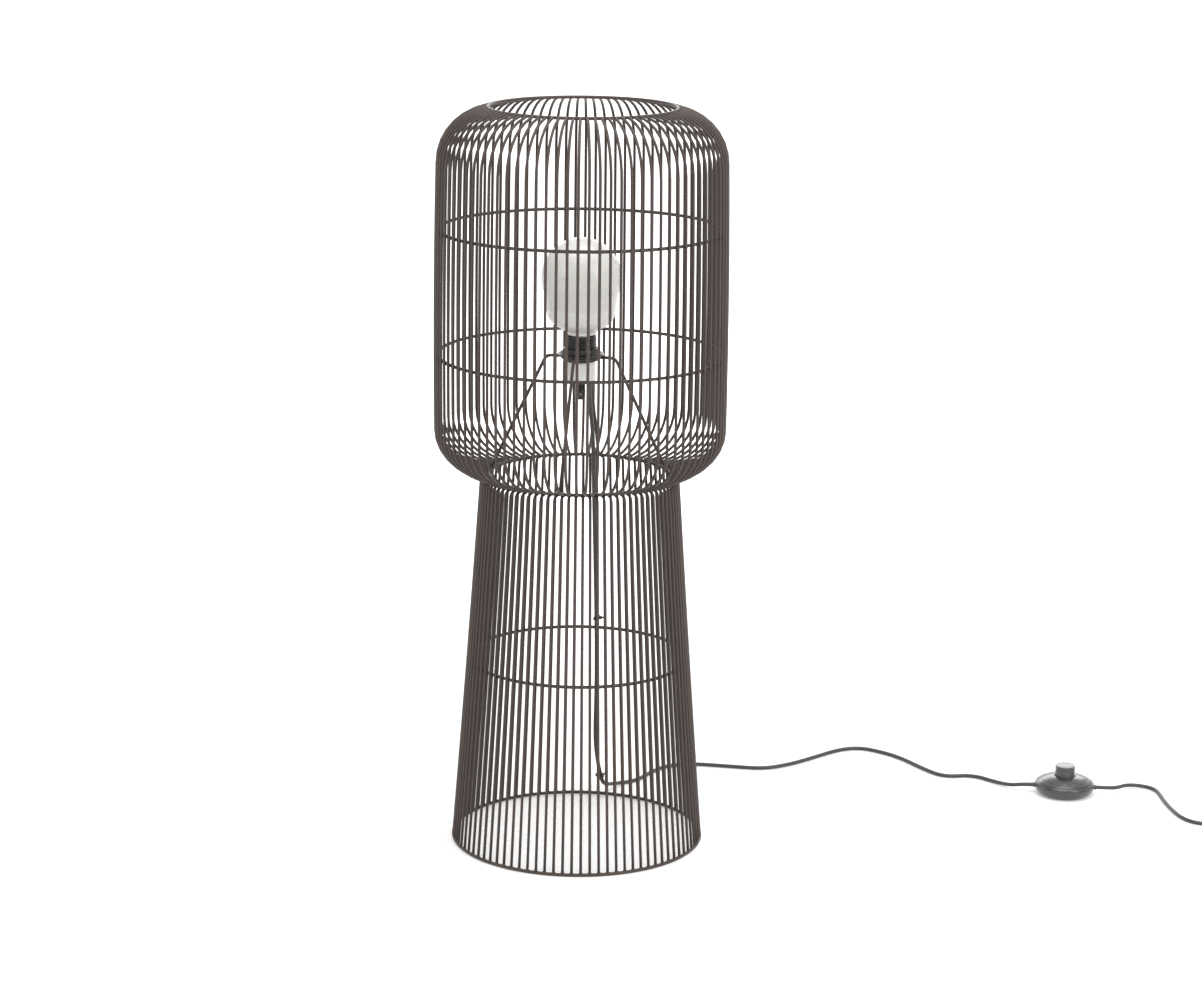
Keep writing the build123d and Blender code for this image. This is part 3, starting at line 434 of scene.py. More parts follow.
cage = {"wires": 88, "wireRadius": 1.75 * mm, "wireSides": 8, "shadePhase": 0.667,
        "basePhase": 0.485, "hoopRadius": 2.0 * mm, "hoopSides": 12,
        "topRing": (111.7 * mm, 898 * mm), "upperHoop": (168.9 * mm, 754 * mm),
        "lowerHoop": (170.3 * mm, 604 * mm), "waistRing": (109.2 * mm, 457 * mm),
        "midHoop": (131.0 * mm, 229 * mm), "footRing": (152.3 * mm, 2 * mm),
        "topShoulder": (65.5 * mm, 64.6 * mm), "lowShoulder": (67.5 * mm, 54.5 * mm),
        "sideTop": 171.2 * mm, "sideLow": 173.6 * mm, "sideBow": 1.3 * mm,
        "overWaist": 1.8 * mm, "underWaist": 1.9 * mm, "topOut": 1.2 * mm, "waistOut": 1.0 * mm,
        "tipRun": 0.5 * mm, "baseFrom": 3.0 * mm, "baseFoot": 152.3 * mm, "baseHead": 118.4 * mm,
        "baseSag": 0.7 * mm, "baseTurn": 7.5 * mm}
spacing = 360.0 / cage["wires"]
shadeAzimuths = (np.arange(cage["wires"]) + cage["shadePhase"]) * spacing
baseAzimuths = (np.arange(cage["wires"]) + cage["basePhase"]) * spacing


def shadeLine():
    # one shade wire as (radius, height): level tip, quarter ellipse, bowed side, quarter ellipse,
    # level tip
    topTip = np.array(cage["topRing"]) + [cage["topOut"], 0]
    lowTip = np.array(cage["waistRing"]) + [cage["waistOut"], cage["overWaist"]]

    def shoulder(outer, level, size, way):
        a = np.radians(np.linspace(90, 0, 9))
        return np.stack([outer - size[0] * (1 - np.cos(a)),
                         level - way * size[1] * (1 - np.sin(a))], 1)

    top = shoulder(cage["sideTop"], topTip[1], cage["topShoulder"], 1)
    low = shoulder(cage["sideLow"], lowTip[1], cage["lowShoulder"], -1)[::-1]
    t = np.linspace(0, 1, 8)[1:-1, None]
    side = top[-1] + (low[0] - top[-1]) * t + np.array([cage["sideBow"], 0]) * 4 * t * (1 - t)
    top = top[top[:, 0] > topTip[0] + cage["tipRun"]]
    low = low[low[:, 0] > lowTip[0] + cage["tipRun"]]
    return np.concatenate([[topTip], top, side, low, [lowTip]])


def baseLine():
    # one base wire as (radius, height): nearly straight up, sagging by a half sine wave, then a
    # small turn in to the waist ring
    waistR, waistZ = cage["waistRing"]
    top = waistZ - cage["underWaist"]
    turn = cage["baseTurn"]
    z = np.linspace(cage["baseFrom"], top - turn, 7)
    r = cage["baseFoot"] + (cage["baseHead"] - cage["baseFoot"]) * z / waistZ
    r = r - cage["baseSag"] * np.sin(np.pi * z / waistZ)
    a = np.radians(np.linspace(0, 90, 6))[1:]
    bend = np.stack([r[-1] - turn + turn * np.cos(a), top - turn + turn * np.sin(a)], 1)
    return np.concatenate([np.stack([r, z], 1), bend, [[waistR + cage["waistOut"], top]]])


def wireRing(name, line, azimuths, node):
    path = np.stack([line[:, 0], 0 * line[:, 0], line[:, 1]], 1)
    wire = carried(path, roundSection(cage["wireRadius"], cage["wireSides"]), flat=(0, 1, 0))
    cagePiece(name, placedRound(*wire, azimuths), node)


def hoopRing(name, size, node, radius=cage["hoopRadius"], segments=176):
    a = wholeTurn(segments)
    path = np.stack([size[0] * np.cos(a), size[0] * np.sin(a), size[1] + 0 * a], 1)
    cagePiece(name, carried(path, roundSection(radius, cage["hoopSides"]), closed=True), node)


wireRing("shadeWires", shadeLine(), shadeAzimuths, "shade_wires")
wireRing("baseWires", baseLine(), baseAzimuths, "base_wires")
for ring, node in {"topRing": "shade_top_ring", "upperHoop": "shade_upper_hoop",
                   "lowerHoop": "shade_lower_hoop", "waistRing": "waist_ring",
                   "midHoop": "base_mid_hoop", "footRing": "foot_ring"}.items():
    hoopRing(ring, cage[ring], node)


def bead(radius, height, size, rows=5, cols=8):
    # a flattened ball of paint and weld: half sizes outwards, along the ring and upright
    lat = np.radians(np.linspace(-75, 75, rows))[:, None]
    lon = wholeTurn(cols)[None, :]
    points = np.stack([radius + size[0] * np.cos(lat) * np.cos(lon),
                       size[1] * np.cos(lat) * np.sin(lon),
                       height + size[2] * np.sin(lat) + 0 * lon], -1)
    return points.reshape(-1, 3), tubeFaces(rows, cols)


beadSizes = {"hoop": (0.9 * mm, 2.6 * mm, 1.7 * mm), "ringTip": (1.9 * mm, 2.7 * mm, 1.9 * mm),
             "foot": (2.0 * mm, 2.8 * mm, 1.5 * mm)}
# the ring that the beads sit on, how far outwards and upwards from it, their size and the wires
welds = [("upperHoop", 1.9 * mm, 0, "hoop", shadeAzimuths),
         ("lowerHoop", 1.9 * mm, 0, "hoop", shadeAzimuths),
         ("midHoop", 1.9 * mm, 0, "hoop", baseAzimuths),
         ("topRing", 1.6 * mm, 0, "ringTip", shadeAzimuths),
         ("waistRing", 1.5 * mm, 1.2 * mm, "ringTip", shadeAzimuths),
         ("waistRing", 1.4 * mm, -1.3 * mm, "ringTip", baseAzimuths),
         ("footRing", 0, 1.9 * mm, "foot", baseAzimuths)]
cagePiece("weldBeads", joined(*[
    placedRound(*bead(cage[ring][0] + out, cage[ring][1] + up, beadSizes[size]), azimuths)
    for ring, out, up, size, azimuths in welds]))
print("cage ready")

# spider that carries the lampholder

spider = {"wireRadius": 2.0 * mm, "ring": (22.2 * mm, 601.2 * mm), "armEnd": 42 * mm,
          "foot": (109.8 * mm, 459.6 * mm), "bend": 6 * mm, "azimuths": [-12, 78, 168, -102],
          "ringBead": (2.2 * mm, 2.9 * mm, 1.9 * mm), "ringBeadOut": 2.0 * mm,
          "footBead": (2.4 * mm, 3.2 * mm, 1.6 * mm), "footBeadIn": 0.4 * mm,
          "footBeadDown": 0.6 * mm}
ringR, ringZ = spider["ring"]
footR, footZ = spider["foot"]
legLine = filleted([(ringR, 0, ringZ), (spider["armEnd"], 0, ringZ), (footR, 0, footZ)],
                   spider["bend"], steps=5)
leg = joined(carried(legLine, roundSection(spider["wireRadius"], cage["hoopSides"]), flat=(0, 1, 0)),
             bead(ringR + spider["ringBeadOut"], ringZ, spider["ringBead"], 9, 16),
             bead(footR - spider["footBeadIn"], footZ - spider["footBeadDown"], spider["footBead"],
                  9, 16))
cagePiece("spiderLegs", placedRound(*leg, spider["azimuths"]), "spider_legs")
hoopRing("spiderRing", spider["ring"], "spider_ring", radius=spider["wireRadius"], segments=64)
print("spider ready")

# lampholder; the small inner nodes keep their CAD shapes and only take a finish

nodeFinish = {
    "holder_core": "coreCeramic", "holder_screw_sleeve": "contactBrass",
    "holder_contact_tongue": "contactBrass", "bulb_insulator": "insulatorBlack",
    "bulb_contact": "contactTin", "switch_screws": "screwSteel", "switch_mechanism": "mechanism",
}
for node, look in nodeFinish.items():
    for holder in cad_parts[node].material_slots:
        holder.material = finishes[look]


def threadChange(pitch, depth, low, high, inside):
    # a screw thread: depth * (1 - cos(turn)) / 2 off the radius, where turn rises with the height
    # and falls with the angle; it fades in and out over half a pitch, and spares the wall inside
    def change(r, z, a):
        turn = 2 * np.pi * z / pitch - a
        fade = np.clip((z - low) / (pitch / 2), 0, 1) * np.clip((high - z) / (pitch / 2), 0, 1)
        return r - depth * 0.5 * (1 - np.cos(turn)) * fade * (r > inside)
    return change


skirt = {"radius": 18.9 * mm, "bore": 16.8 * mm, "bottom": 596.2 * mm, "top": 627.2 * mm,
         "neck": 17.3 * mm, "rim": 21.6 * mm, "rimLow": 597.5 * mm, "rimHigh": 599.1 * mm,
         "lip": 15.2 * mm, "lipTop": 597.7 * mm, "rounding": 0.5 * mm, "rowGap": 0.35 * mm,
         "thread": {"pitch": 2.4 * mm, "depth": 0.75 * mm, "low": 601.1 * mm, "high": 626.6 * mm,
                    "inside": 17.8 * mm}}
skirtOutline = filleted([
    (skirt["neck"], skirt["bottom"]), (skirt["neck"], skirt["rimLow"]),
    (skirt["rim"], skirt["rimLow"]), (skirt["rim"], skirt["rimHigh"]),
    (skirt["radius"], skirt["rimHigh"]), (skirt["radius"], skirt["top"]),
    (skirt["bore"], skirt["top"]), (skirt["bore"], skirt["lipTop"]),
    (skirt["lip"], skirt["lipTop"]), (skirt["lip"], skirt["bottom"])],
    skirt["rounding"], closed=True)
skirtOutline = packedRows(np.concatenate([skirtOutline, skirtOutline[:1]]), skirt["rowGap"])[:-1]
skirtShape = turned(skirtOutline, 120, closed=True, change=threadChange(**skirt["thread"]))
ridingPiece("holderSkirt", skirtShape, "blackPlastic", "lamp", "black_plastic", "holder_shell")

clamp = {"rim": 28.0 * mm, "top": 20.9 * mm, "bore": 19.3 * mm, "low": 603.3 * mm,
         "rimHigh": 605.3 * mm, "high": 612.3 * mm, "rounding": 0.8 * mm, "chamfer": 0.4 * mm,
         "flareFoot": 26.8 * mm, "flareLow": 605.6 * mm, "flarePower": 2.2,
         "flutes": 30, "fluteDepth": 0.45 * mm, "fluteFade": 1 * mm, "fluteInside": 20.2 * mm}
rise = np.linspace(0, 1, 10)
flare = np.stack([
    clamp["top"] + (clamp["flareFoot"] - clamp["top"]) * (1 - rise) ** clamp["flarePower"],
    clamp["flareLow"] + (clamp["high"] - clamp["flareLow"]) * rise], 1)
bore, chamfer = clamp["bore"], clamp["chamfer"]
clampOutline = np.concatenate([
    filleted([(bore, clamp["low"]), (clamp["rim"], clamp["low"]), (clamp["rim"], clamp["rimHigh"]),
              flare[0]], clamp["rounding"])[1:-1],
    flare, [(bore + chamfer, clamp["high"]), (bore, clamp["high"] - chamfer),
            (bore, clamp["low"] + chamfer), (bore + chamfer, clamp["low"])]])


def fluted(r, z, a):
    # finger flutes round the clamp ring, (1/2 + cos(flutes * angle) / 2) squared, only between its
    # brim and its top
    on = np.clip((z - clamp["rimHigh"]) / clamp["fluteFade"], 0, 1) * (r > clamp["fluteInside"])
    return r - clamp["fluteDepth"] * on * (0.5 + 0.5 * np.cos(clamp["flutes"] * a)) ** 2


ridingPiece("clampRing", turned(clampOutline, 240, closed=True, change=fluted), "blackPlastic",
            "lamp", "black_plastic", "clamp_ring")

# outlines are rows of (radius, height, rounding) in millimetres from here on
cup = {"outline": [
    (0.5, 570.9, 0), (17.05, 570.9, 2.4),  # floor
    (17.3, 593.9, 0.1), (16.95, 594.2, 0.1), (16.95, 594.6, 0.1), (17.3, 594.9, 0.1),  # groove
    (17.3, 596.1, 0.4), (15.5, 596.1, 0.4),  # top edge
    (15.5, 572.7, 1), (0.5, 572.7, 0)]}  # inside
ridingPiece("holderCup", turned(outlined(cup["outline"], steps=6), 120, closed=True), "capPlastic",
            "lamp", "white_plastic", "holder_cap")

grip = {"radius": 5.85 * mm, "ribs": 5, "ribLow": 561.3 * mm, "ribTop": 567.3 * mm,
        "ribDepth": 0.35 * mm,
        "foot": [(0.4, 549.3, 0), (5.65, 549.3, 2.6), (5.85, 554.3, 0)],
        "head": [(5.85, 567.8, 0), (6.75, 568.2, 0.35), (6.75, 570.8, 0.35), (4.6, 570.8, 0.35),
                 (4.6, 573.8, 0.35), (0.4, 573.8, 0)]}
ribZ = np.linspace(grip["ribTop"], grip["ribLow"], grip["ribs"] * 4 + 1)[::-1]
ribWave = 0.5 - 0.5 * np.cos(2 * np.pi * np.arange(len(ribZ)) / 4)
gripOutline = np.concatenate([
    outlined(grip["foot"], steps=7),
    np.stack([grip["radius"] - grip["ribDepth"] * ribWave, ribZ], 1),
    outlined(grip["head"])])
ridingPiece("holderGrip", turned(gripOutline, 48), "blackPlastic", "lamp", "black_plastic",
            "holder_grip", sharp=35)

screw = {"radius": 1.6 * mm, "dome": 0.25 * mm, "slot": 0.5 * mm, "depth": 0.4 * mm,
         "skirt": 1.6 * mm, "height": 556.3 * mm, "forward": 6.1 * mm}


def slottedHead(setup, sides=32, rows=8):
    # a domed screw head facing +Z, its slot pressed in: height falls by depth within the slot's
    # width
    a = wholeTurn(sides)[None, :]
    r = np.linspace(0.02, 1, rows)[::-1, None] * setup["radius"]
    x, y = r * np.cos(a), r * np.sin(a)
    pressed = setup["depth"] * (np.abs(y) < setup["slot"] / 2)
    z = setup["dome"] * (1 - (r / setup["radius"]) ** 2) - pressed
    foot = np.stack([x[:1], y[:1], 0 * x[:1] - setup["skirt"]], -1)
    points = np.concatenate([foot, np.stack([x, y, z], -1)]).reshape(-1, 3)
    return points, tubeFaces(rows + 1, sides)


headPoints, headFaces = slottedHead(screw)
headPoints = np.stack([headPoints[:, 0], -headPoints[:, 2] - screw["forward"],
                       headPoints[:, 1] + screw["height"]], 1)
ridingPiece("gripScrew", (headPoints, headFaces), "screwSteel", "lamp", "screw_steel", "grip_screw",
            sharp=30)

gland = {"centre": (10.8 * mm, 0.0), "outline": [
    (2.7, 568.9, 0.35), (4.0, 568.9, 0.35), (4.7, 570.5, 0.35), (4.7, 570.9, 0.35),
    (4.0, 570.9, 0.35), (4.0, 572.7, 0.35), (2.7, 572.7, 0.35)]}
cordGland = ridingPiece(
    "cordGland", turned(outlined(gland["outline"], closed=True), 40, gland["centre"], closed=True),
    "glandPlastic", "lamp", "cord_gland_white", "cord_gland")

# bulb; the collar's rows are (radius, height above the neck) in millimetres

bulb = {"radius": 48.0 * mm, "height": 696.5 * mm, "neckBottom": 629.1 * mm, "seam": 661.0 * mm,
        "axis": 0.4 * mm, "tuckIn": 0.5 * mm, "tuckUp": 0.3 * mm, "domeFrom": -22, "domeTo": 89.5,
        "collar": [(18.2, 0.0), (18.6, 3.0), (23.0, 5.6), (31.5, 10.6), (37.2, 15.6), (40.4, 22.5),
                   (41.9, 31.9)],
        "lowerDome": [(41.7, 661.0), (42.6, 665.5), (43.5, 671.5)]}
collarLine = softened(np.array(bulb["collar"]) * mm + [0, bulb["neckBottom"]], 3)
tuckZ = bulb["seam"] + bulb["tuckUp"]
collarLine = np.concatenate([[[bulb["axis"], bulb["neckBottom"]]], collarLine,
                             [[collarLine[-1, 0] - bulb["tuckIn"], tuckZ], [bulb["axis"], tuckZ]]])
ridingPiece("bulbCollar", turned(collarLine, 128), "collarPlastic", "bulb", "opal_glass",
            "bulb_globe")
a = np.radians(np.linspace(bulb["domeFrom"], bulb["domeTo"], 48))
dome = np.stack([bulb["radius"] * np.cos(a), bulb["height"] + bulb["radius"] * np.sin(a)], 1)
lowerDome = softened(np.concatenate([np.array(bulb["lowerDome"]) * mm, dome[:1]]), 2)
domeLine = np.concatenate([[[bulb["axis"], bulb["seam"]]], lowerDome, dome[1:]])
ridingPiece("bulbDome", turned(domeLine, 128), "opalGlass", "bulb", "opal_glass")

screwCap = {"rowGap": 0.45 * mm, "outline": [
    (0.4, 609.5, 0), (11.9, 609.5, 0.6), (13.4, 611.0, 0.6), (13.4, 627.0, 0.6), (13.4, 629.0, 0.6),
    (0.4, 629.0, 0)], "thread": {"pitch": 3.6 * mm, "depth": 0.9 * mm, "low": 610.3 * mm,
                                 "high": 626.0 * mm, "inside": 11.5 * mm}}
ridingPiece("bulbScrewCap", turned(packedRows(outlined(screwCap["outline"]), screwCap["rowGap"]), 96,
                                   change=threadChange(**screwCap["thread"])),
            "capAluminium", "bulb", "cap_aluminium", "bulb_screw_cap")
print("lampholder and bulb ready")

# foot switch

footSwitch = {
    "centre": (629.5 * mm, 172.0 * mm), "edgeSides": 160, "innerSides": 96,
    "base": [(0.5, 0.9, 0), (29.0, 0.9, 0.3), (30.0, 0.3, 0.3), (31.6, 0.3, 0.8),  # underside
             (35.2, 3.4, 2.0), (37.5, 6.9, 2.0), (38.2, 10.4, 2.6), (37.7, 13.8, 0.05),  # side
             (36.0, 13.8, 0.3), (35.4, 9.8, 1), (29.0, 3.2, 1), (0.5, 3.2, 0)],  # inside
    "pad": [(22.0, 0.0, 0.2), (29.2, 0.0, 0.2), (29.4, 0.9, 0.2), (21.8, 0.9, 0.2)],
    # one low dome from the joint to the button
    "cover": [(35.6, 13.86, 0.1), (37.68, 13.86, 0.05), (36.5, 15.4, 1.2),  # joint
              (35.2, 16.45, 0.3), (34.9, 15.9, 0.1), (34.5, 15.95, 0.1),  # groove
              (34.55, 17.0, 0.25), (33.4, 17.75, 1), (30.9, 19.15, 0.15),  # shoulder
              (30.6, 18.85, 0.1), (30.2, 18.95, 0.1), (29.9, 19.7, 0.3),  # ring round the plate
              (25.0, 21.9, 3), (19.5, 23.6, 3), (15.6, 24.4, 2),  # top plate
              (14.2, 24.5, 0.8), (13.1, 24.0, 0.5), (13.05, 22.4, 0.2),  # edge of the button's hole
              (28.0, 18.0, 2), (34.0, 13.5, 2)],  # inside
    "button": [(0.5, 20.35, 0), (15.0, 20.35, 0.2), (15.0, 21.9, 0.2), (12.8, 21.9, 0.3),  # flange
               (12.7, 32.1, 0.05), (12.45, 32.3, 0.05), (12.45, 32.6, 0.05),  # groove
               (12.7, 32.8, 0.05), (12.7, 37.4, 1.1), (11.3, 37.5, 1),  # top edge
               (9.2, 37.15, 2), (0.5, 36.8, 0)]}  # dished top
centre, edge, inner = footSwitch["centre"], footSwitch["edgeSides"], footSwitch["innerSides"]
switchBase = ridingPiece(
    "switchBase", turned(outlined(footSwitch["base"], 5), edge, centre, closed=True),
    "switchGrey", "lamp", "switch_grey", "switch_base", sharp=50)
switchPad = ridingPiece(
    "switchPad", turned(outlined(footSwitch["pad"], closed=True), inner, centre, closed=True),
    "padRubber", "lamp", "switch_grey")
switchCover = ridingPiece(
    "switchCover", turned(outlined(footSwitch["cover"], 5, closed=True), edge, centre, closed=True),
    "switchGrey", "lamp", "switch_grey", "switch_cover", sharp=50)
switchButton = ridingPiece(
    "switchButton", turned(outlined(footSwitch["button"], 5), inner, centre),
    "switchGrey", "switch_button", "switch_grey", "switch_button", sharp=50)
print("foot switch ready")

# lead; routes and the coil are in millimetres

cordRadius = 2.5 * mm
lampRoute = [
    (10.8, 0.0, 568.9), (10.8, 0.0, 548.0), (15.8, 14.0, 505.0), (17.6, 42.0, 420.0),
    (22.9, 125.9, 239.0), (23.8, 134.6, 145.0), (22.3, 138.8, 80.0), (26.4, 141.4, 46.0),
    (30.8, 143.4, 24.5), (34.6, 153.5, 12.8), (44.6, 173.0, 6.4), (57.0, 189.5, 2.5),
    (70.0, 194.5, 2.5), (83.0, 209.0, 2.5), (97.0, 234.0, 2.5), (114.0, 257.0, 2.5),
    (137.0, 267.0, 2.5), (160.0, 269.0, 2.5), (204.0, 260.0, 2.5), (246.0, 252.0, 2.5),
    (281.0, 271.0, 2.5), (314.0, 300.0, 2.5), (348.0, 333.0, 2.5), (378.0, 345.0, 2.5),
    (405.0, 329.0, 2.5), (431.0, 303.0, 2.5), (456.0, 258.0, 2.5), (480.0, 225.0, 2.5),
    (518.0, 234.0, 2.5), (545.0, 206.0, 2.5), (562.0, 187.0, 4.8), (577.44, 177.93, 9.4),
    (591.35, 176.35, 9.4)]


def cordCurve(name, route, thick=True):
    data = bpy.data.curves.new(name, "CURVE")
    data.dimensions = "3D"
    spline = data.splines.new("NURBS")
    spline.points.add(len(route) - 1)
    for point, place in zip(spline.points, route):
        point.co = (place[0] * mm, place[1] * mm, place[2] * mm, 1)
    spline.order_u = 3
    spline.use_endpoint_u = True
    spline.resolution_u = 8
    if thick:
        data.bevel_depth = cordRadius
        data.bevel_resolution = 4
        data.use_fill_caps = True
    cord = bpy.data.objects.new(name, data)
    bpy.context.scene.collection.objects.link(cord)
    cord.data.materials.append(finishes["cordSheath"])
    return cord


def cordLine(route):
    # the points along a route's smooth line, for the pieces that sit on the cord
    plain = cordCurve("plainLine", route, thick=False)
    mesh = bpy.data.meshes.new_from_object(plain)
    points = np.empty(len(mesh.vertices) * 3, np.float32)
    mesh.vertices.foreach_get("co", points)
    bpy.data.meshes.remove(mesh)
    data = plain.data
    bpy.data.objects.remove(plain)
    bpy.data.curves.remove(data)
    return points.reshape(-1, 3).astype(float)


coil = {"centre": (852.0, 18.0), "middle": 27.5, "pitch": 5.5, "loops": 5, "perLoop": 12,
        "lowest": 2.5, "climb": 0.25}


def coilRoute():
    # spiral in on the floor, climb a layer in the half turn about the middle, spiral out on top
    half = coil["loops"] / 2
    t = np.arange(coil["loops"] * coil["perLoop"] + 1) / coil["perLoop"]
    # control points stand a little outside the curve that they make
    swell = 1 / (0.5 + 0.5 * np.cos(np.pi / coil["perLoop"]) ** 2)
    r = (coil["middle"] + coil["pitch"] * (np.abs(t - half) - half / 2)) * swell
    z = coil["lowest"] + coil["pitch"] * (1 + np.clip((t - half) / coil["climb"], -1, 1)) / 2
    a = np.pi / 2 - 2 * np.pi * t
    return np.stack([coil["centre"][0] + r * np.cos(a), coil["centre"][1] + r * np.sin(a), z], 1)


mainsRoute = [(667.65, 167.65, 9.4), (680.57, 166.18, 9.4), (693.0, 170.5, 7.8), (701.5, 178.5, 6.3),
              (711.8, 190.8, 4.8), (726.7, 195.1, 3.5), (741.4, 190.0, 2.7), (750.5, 177.5, 2.5),
              (752.0, 134.0, 2.5), (756.0, 102.0, 2.5), (761.5, 75.0, 2.5), (772.0, 56.5, 2.5),
              (790.0, 48.0, 2.5), (813.0, 48.5, 2.5), (832.0, 52.0, 2.5)]
tailRoute = [(872.0, 52.4, 8.0), (895.0, 51.0, 7.6), (917.07, 44.29, 6.85), (932.45, 39.88, 6.85)]
wholeRoute = np.concatenate([np.array(mainsRoute), coilRoute(), np.array(tailRoute)])
lampCord = cordCurve("lampCord", lampRoute)
mainsCord = cordCurve("mainsCord", wholeRoute)
lampLine, mainsLine = cordLine(lampRoute), cordLine(wholeRoute)

bushing = {"inside": 2 * mm, "long": 2.4 * mm, "radius": 3.2 * mm, "end": 2.95 * mm,
           "edge": 0.6 * mm, "edgeIn": 0.35 * mm}


def bushingShape(line, setup):
    # a short tapered collar on the cord's line where it leaves the switch
    run = np.linspace(-setup["inside"], setup["long"], 8)
    ahead = (line[3] - line[0]) / np.linalg.norm(line[3] - line[0])
    path = line[0] + run[:, None] * ahead
    swell = np.interp(run, [0, setup["long"] - setup["edge"], setup["long"]],
                      [setup["radius"], setup["end"], setup["end"] - setup["edgeIn"]])
    return carried(path, roundSection(1.0, 24), swell=swell)


bushings = joined(bushingShape(lampLine[::-1], bushing), bushingShape(mainsLine, bushing))
switchBushings = ridingPiece("switchBushings", bushings, "switchGrey", "lamp", "switch_grey")

# ties; the wire that the lead is tied to is counted from the front

tie = {"heights": (243 * mm, 27 * mm), "wire": 41, "wide": 2.6 * mm, "thick": 1.1 * mm,
       "slack": (0.45 * mm, 0.75 * mm), "head": (4.6 * mm, 3.6 * mm, 4.4 * mm), "headGap": 0.3 * mm,
       "tail": 7 * mm, "tailWide": 2.2 * mm, "tailLean": 1.5 * mm, "tailRise": 0.6 * mm}


def slotLoop(first, second, firstRadius, secondRadius, steps=14):
    # a closed loop round two centres: a half circle about each, joined by straight runs
    facing = np.arctan2(second[1] - first[1], second[0] - first[0])
    a = facing + np.linspace(-np.pi / 2, np.pi / 2, steps)[:, None]
    return np.concatenate([second + secondRadius * np.hstack([np.cos(a), np.sin(a)]),
                           first - firstRadius * np.hstack([np.cos(a), np.sin(a)])])


def tieShape(height, slack):
    # the band round one wire and the cord, its locking head on one side and the cut tail beyond it
    drop = lampLine[:len(lampLine) // 2]
    cordAt = drop[np.argmin(np.abs(drop[:, 2] - height))][:2]
    t = np.radians((tie["wire"] + cage["basePhase"]) * spacing)
    r = cage["baseFoot"] + (cage["baseHead"] - cage["baseFoot"]) * height / cage["waistRing"][1]
    wireAt = np.array([r * np.sin(t), -r * np.cos(t)])
    around = slack + tie["thick"] / 2
    loop = slotLoop(wireAt, cordAt, cage["wireRadius"] + around, cordRadius + around)
    loop = np.column_stack([loop, np.full(len(loop), height)])
    band = carried(loop, boxSection(tie["thick"], tie["wide"]), closed=True)
    run = (cordAt - wireAt) / np.linalg.norm(cordAt - wireAt)
    beside = np.array([-run[1], run[0]])
    spot = (cordAt + wireAt) / 2 + beside * (cordRadius + slack + tie["thick"] + tie["headGap"])
    head = roundedBlock(tie["head"], (*spot, height), np.arctan2(run[1], run[0]))
    reach = np.linspace(0, 1, 6)[:, None]
    tail = np.column_stack([spot + beside * reach * tie["tail"] + run * tie["tailLean"] * reach ** 2,
                            height + tie["tailRise"] * reach[:, 0]])
    return joined(band, head, carried(tail, boxSection(tie["thick"], tie["tailWide"])))


ridingPiece("cableTies", joined(*[tieShape(*pair) for pair in zip(tie["heights"], tie["slack"])]),
            "tieNylon", "lamp", "tie_nylon", "cable_ties", sharp=35)

coilTie = {"azimuth": 215.0, "inner": 17.4 * mm, "outer": 37.6 * mm, "top": 11.1 * mm,
           "low": 0.35 * mm, "rounding": 2.4 * mm, "wide": 5.0 * mm, "thick": 0.5 * mm,
           "twistUp": 0.9 * mm, "twistReach": 6 * mm, "twistLift": 1.6 * mm, "twistRadius": 0.8 * mm}
corners = filleted([(coilTie["inner"], coilTie["low"]), (coilTie["outer"], coilTie["low"]),
                    (coilTie["outer"], coilTie["top"]), (coilTie["inner"], coilTie["top"])],
                   coilTie["rounding"], 6, closed=True)
t = np.radians(coilTie["azimuth"])
middle = np.array(coil["centre"]) * mm
wrap = np.stack([middle[0] + corners[:, 0] * np.cos(t), middle[1] + corners[:, 0] * np.sin(t),
                 corners[:, 1]], 1)
wrapShape = carried(wrap, boxSection(coilTie["thick"], coilTie["wide"]), closed=True,
                    flat=(np.sin(t), -np.cos(t), 0))
# the twisted ends stand across the band, lifting with the square of the distance
reach = np.linspace(-1, 1, 9)[:, None]
twist = wrap[len(wrap) * 5 // 8] + [0, 0, coilTie["twistUp"]]
twist = twist + reach * np.array([-np.sin(t), np.cos(t), 0]) * coilTie["twistReach"]
twist = twist + reach ** 2 * np.array([0, 0, coilTie["twistLift"]])
twistShape = carried(twist, roundSection(coilTie["twistRadius"], 10))
coilBand = ridingPiece("coilBand", joined(wrapShape, twistShape), "tieNylon", "lamp", "tie_nylon",
                       sharp=35)

# plug; rows of two numbers are (distance along the piece in millimetres, value)

plug = {"origin": (946.0 * mm, 36.0 * mm, 6.85 * mm), "turn": -16.0, "long": 36 * mm, "sides": 48,
        "halfWide": [(0, 3.4), (1.2, 5.2), (3, 6.2), (7, 8.8), (12, 12.4), (19, 17.0), (24, 17.5),
                     (34.5, 17.6), (35.5, 17.0), (36, 16.0)],
        "halfThick": [(0, 3.2), (1.2, 4.6), (3, 5.3), (7, 6.3), (19, 6.8), (34.5, 6.8), (35.5, 6.3),
                      (36, 5.4)],
        "power": [(0, 1.0), (8, 0.75), (20, 0.45)],
        "ridgeFrom": 9, "ridgeTo": 26, "ridgeFade": 2, "ridgeDepth": 0.35, "ridgePitch": 2.4}
relief = {"long": 22 * mm, "ringsTo": 20.5 * mm, "ringPitch": 3.2 * mm, "ringDepth": 0.35 * mm,
          "radius": [(0, 4.6), (21.5, 3.3), (22, 2.7)], "inside": 14.5 * mm, "root": 4.4 * mm}
pins = {"gap": 9.5 * mm, "radius": 2.0 * mm, "long": 19 * mm, "tip": 1.2 * mm, "overlap": 1 * mm,
        "sleeve": 10 * mm, "sleeveRadius": 2.1 * mm, "sleeveIn": 0.5 * mm, "edge": 0.2 * mm,
        "axis": 0.02 * mm}
plugT = np.radians(plug["turn"])


def onPlug(points):
    # from plug coordinates (along, across, up) to the lamp's frame
    c, s = np.cos(plugT), np.sin(plugT)
    x, y, z = points.T
    return np.stack([c * x - s * y, s * x + c * y, z], 1) + plug["origin"]


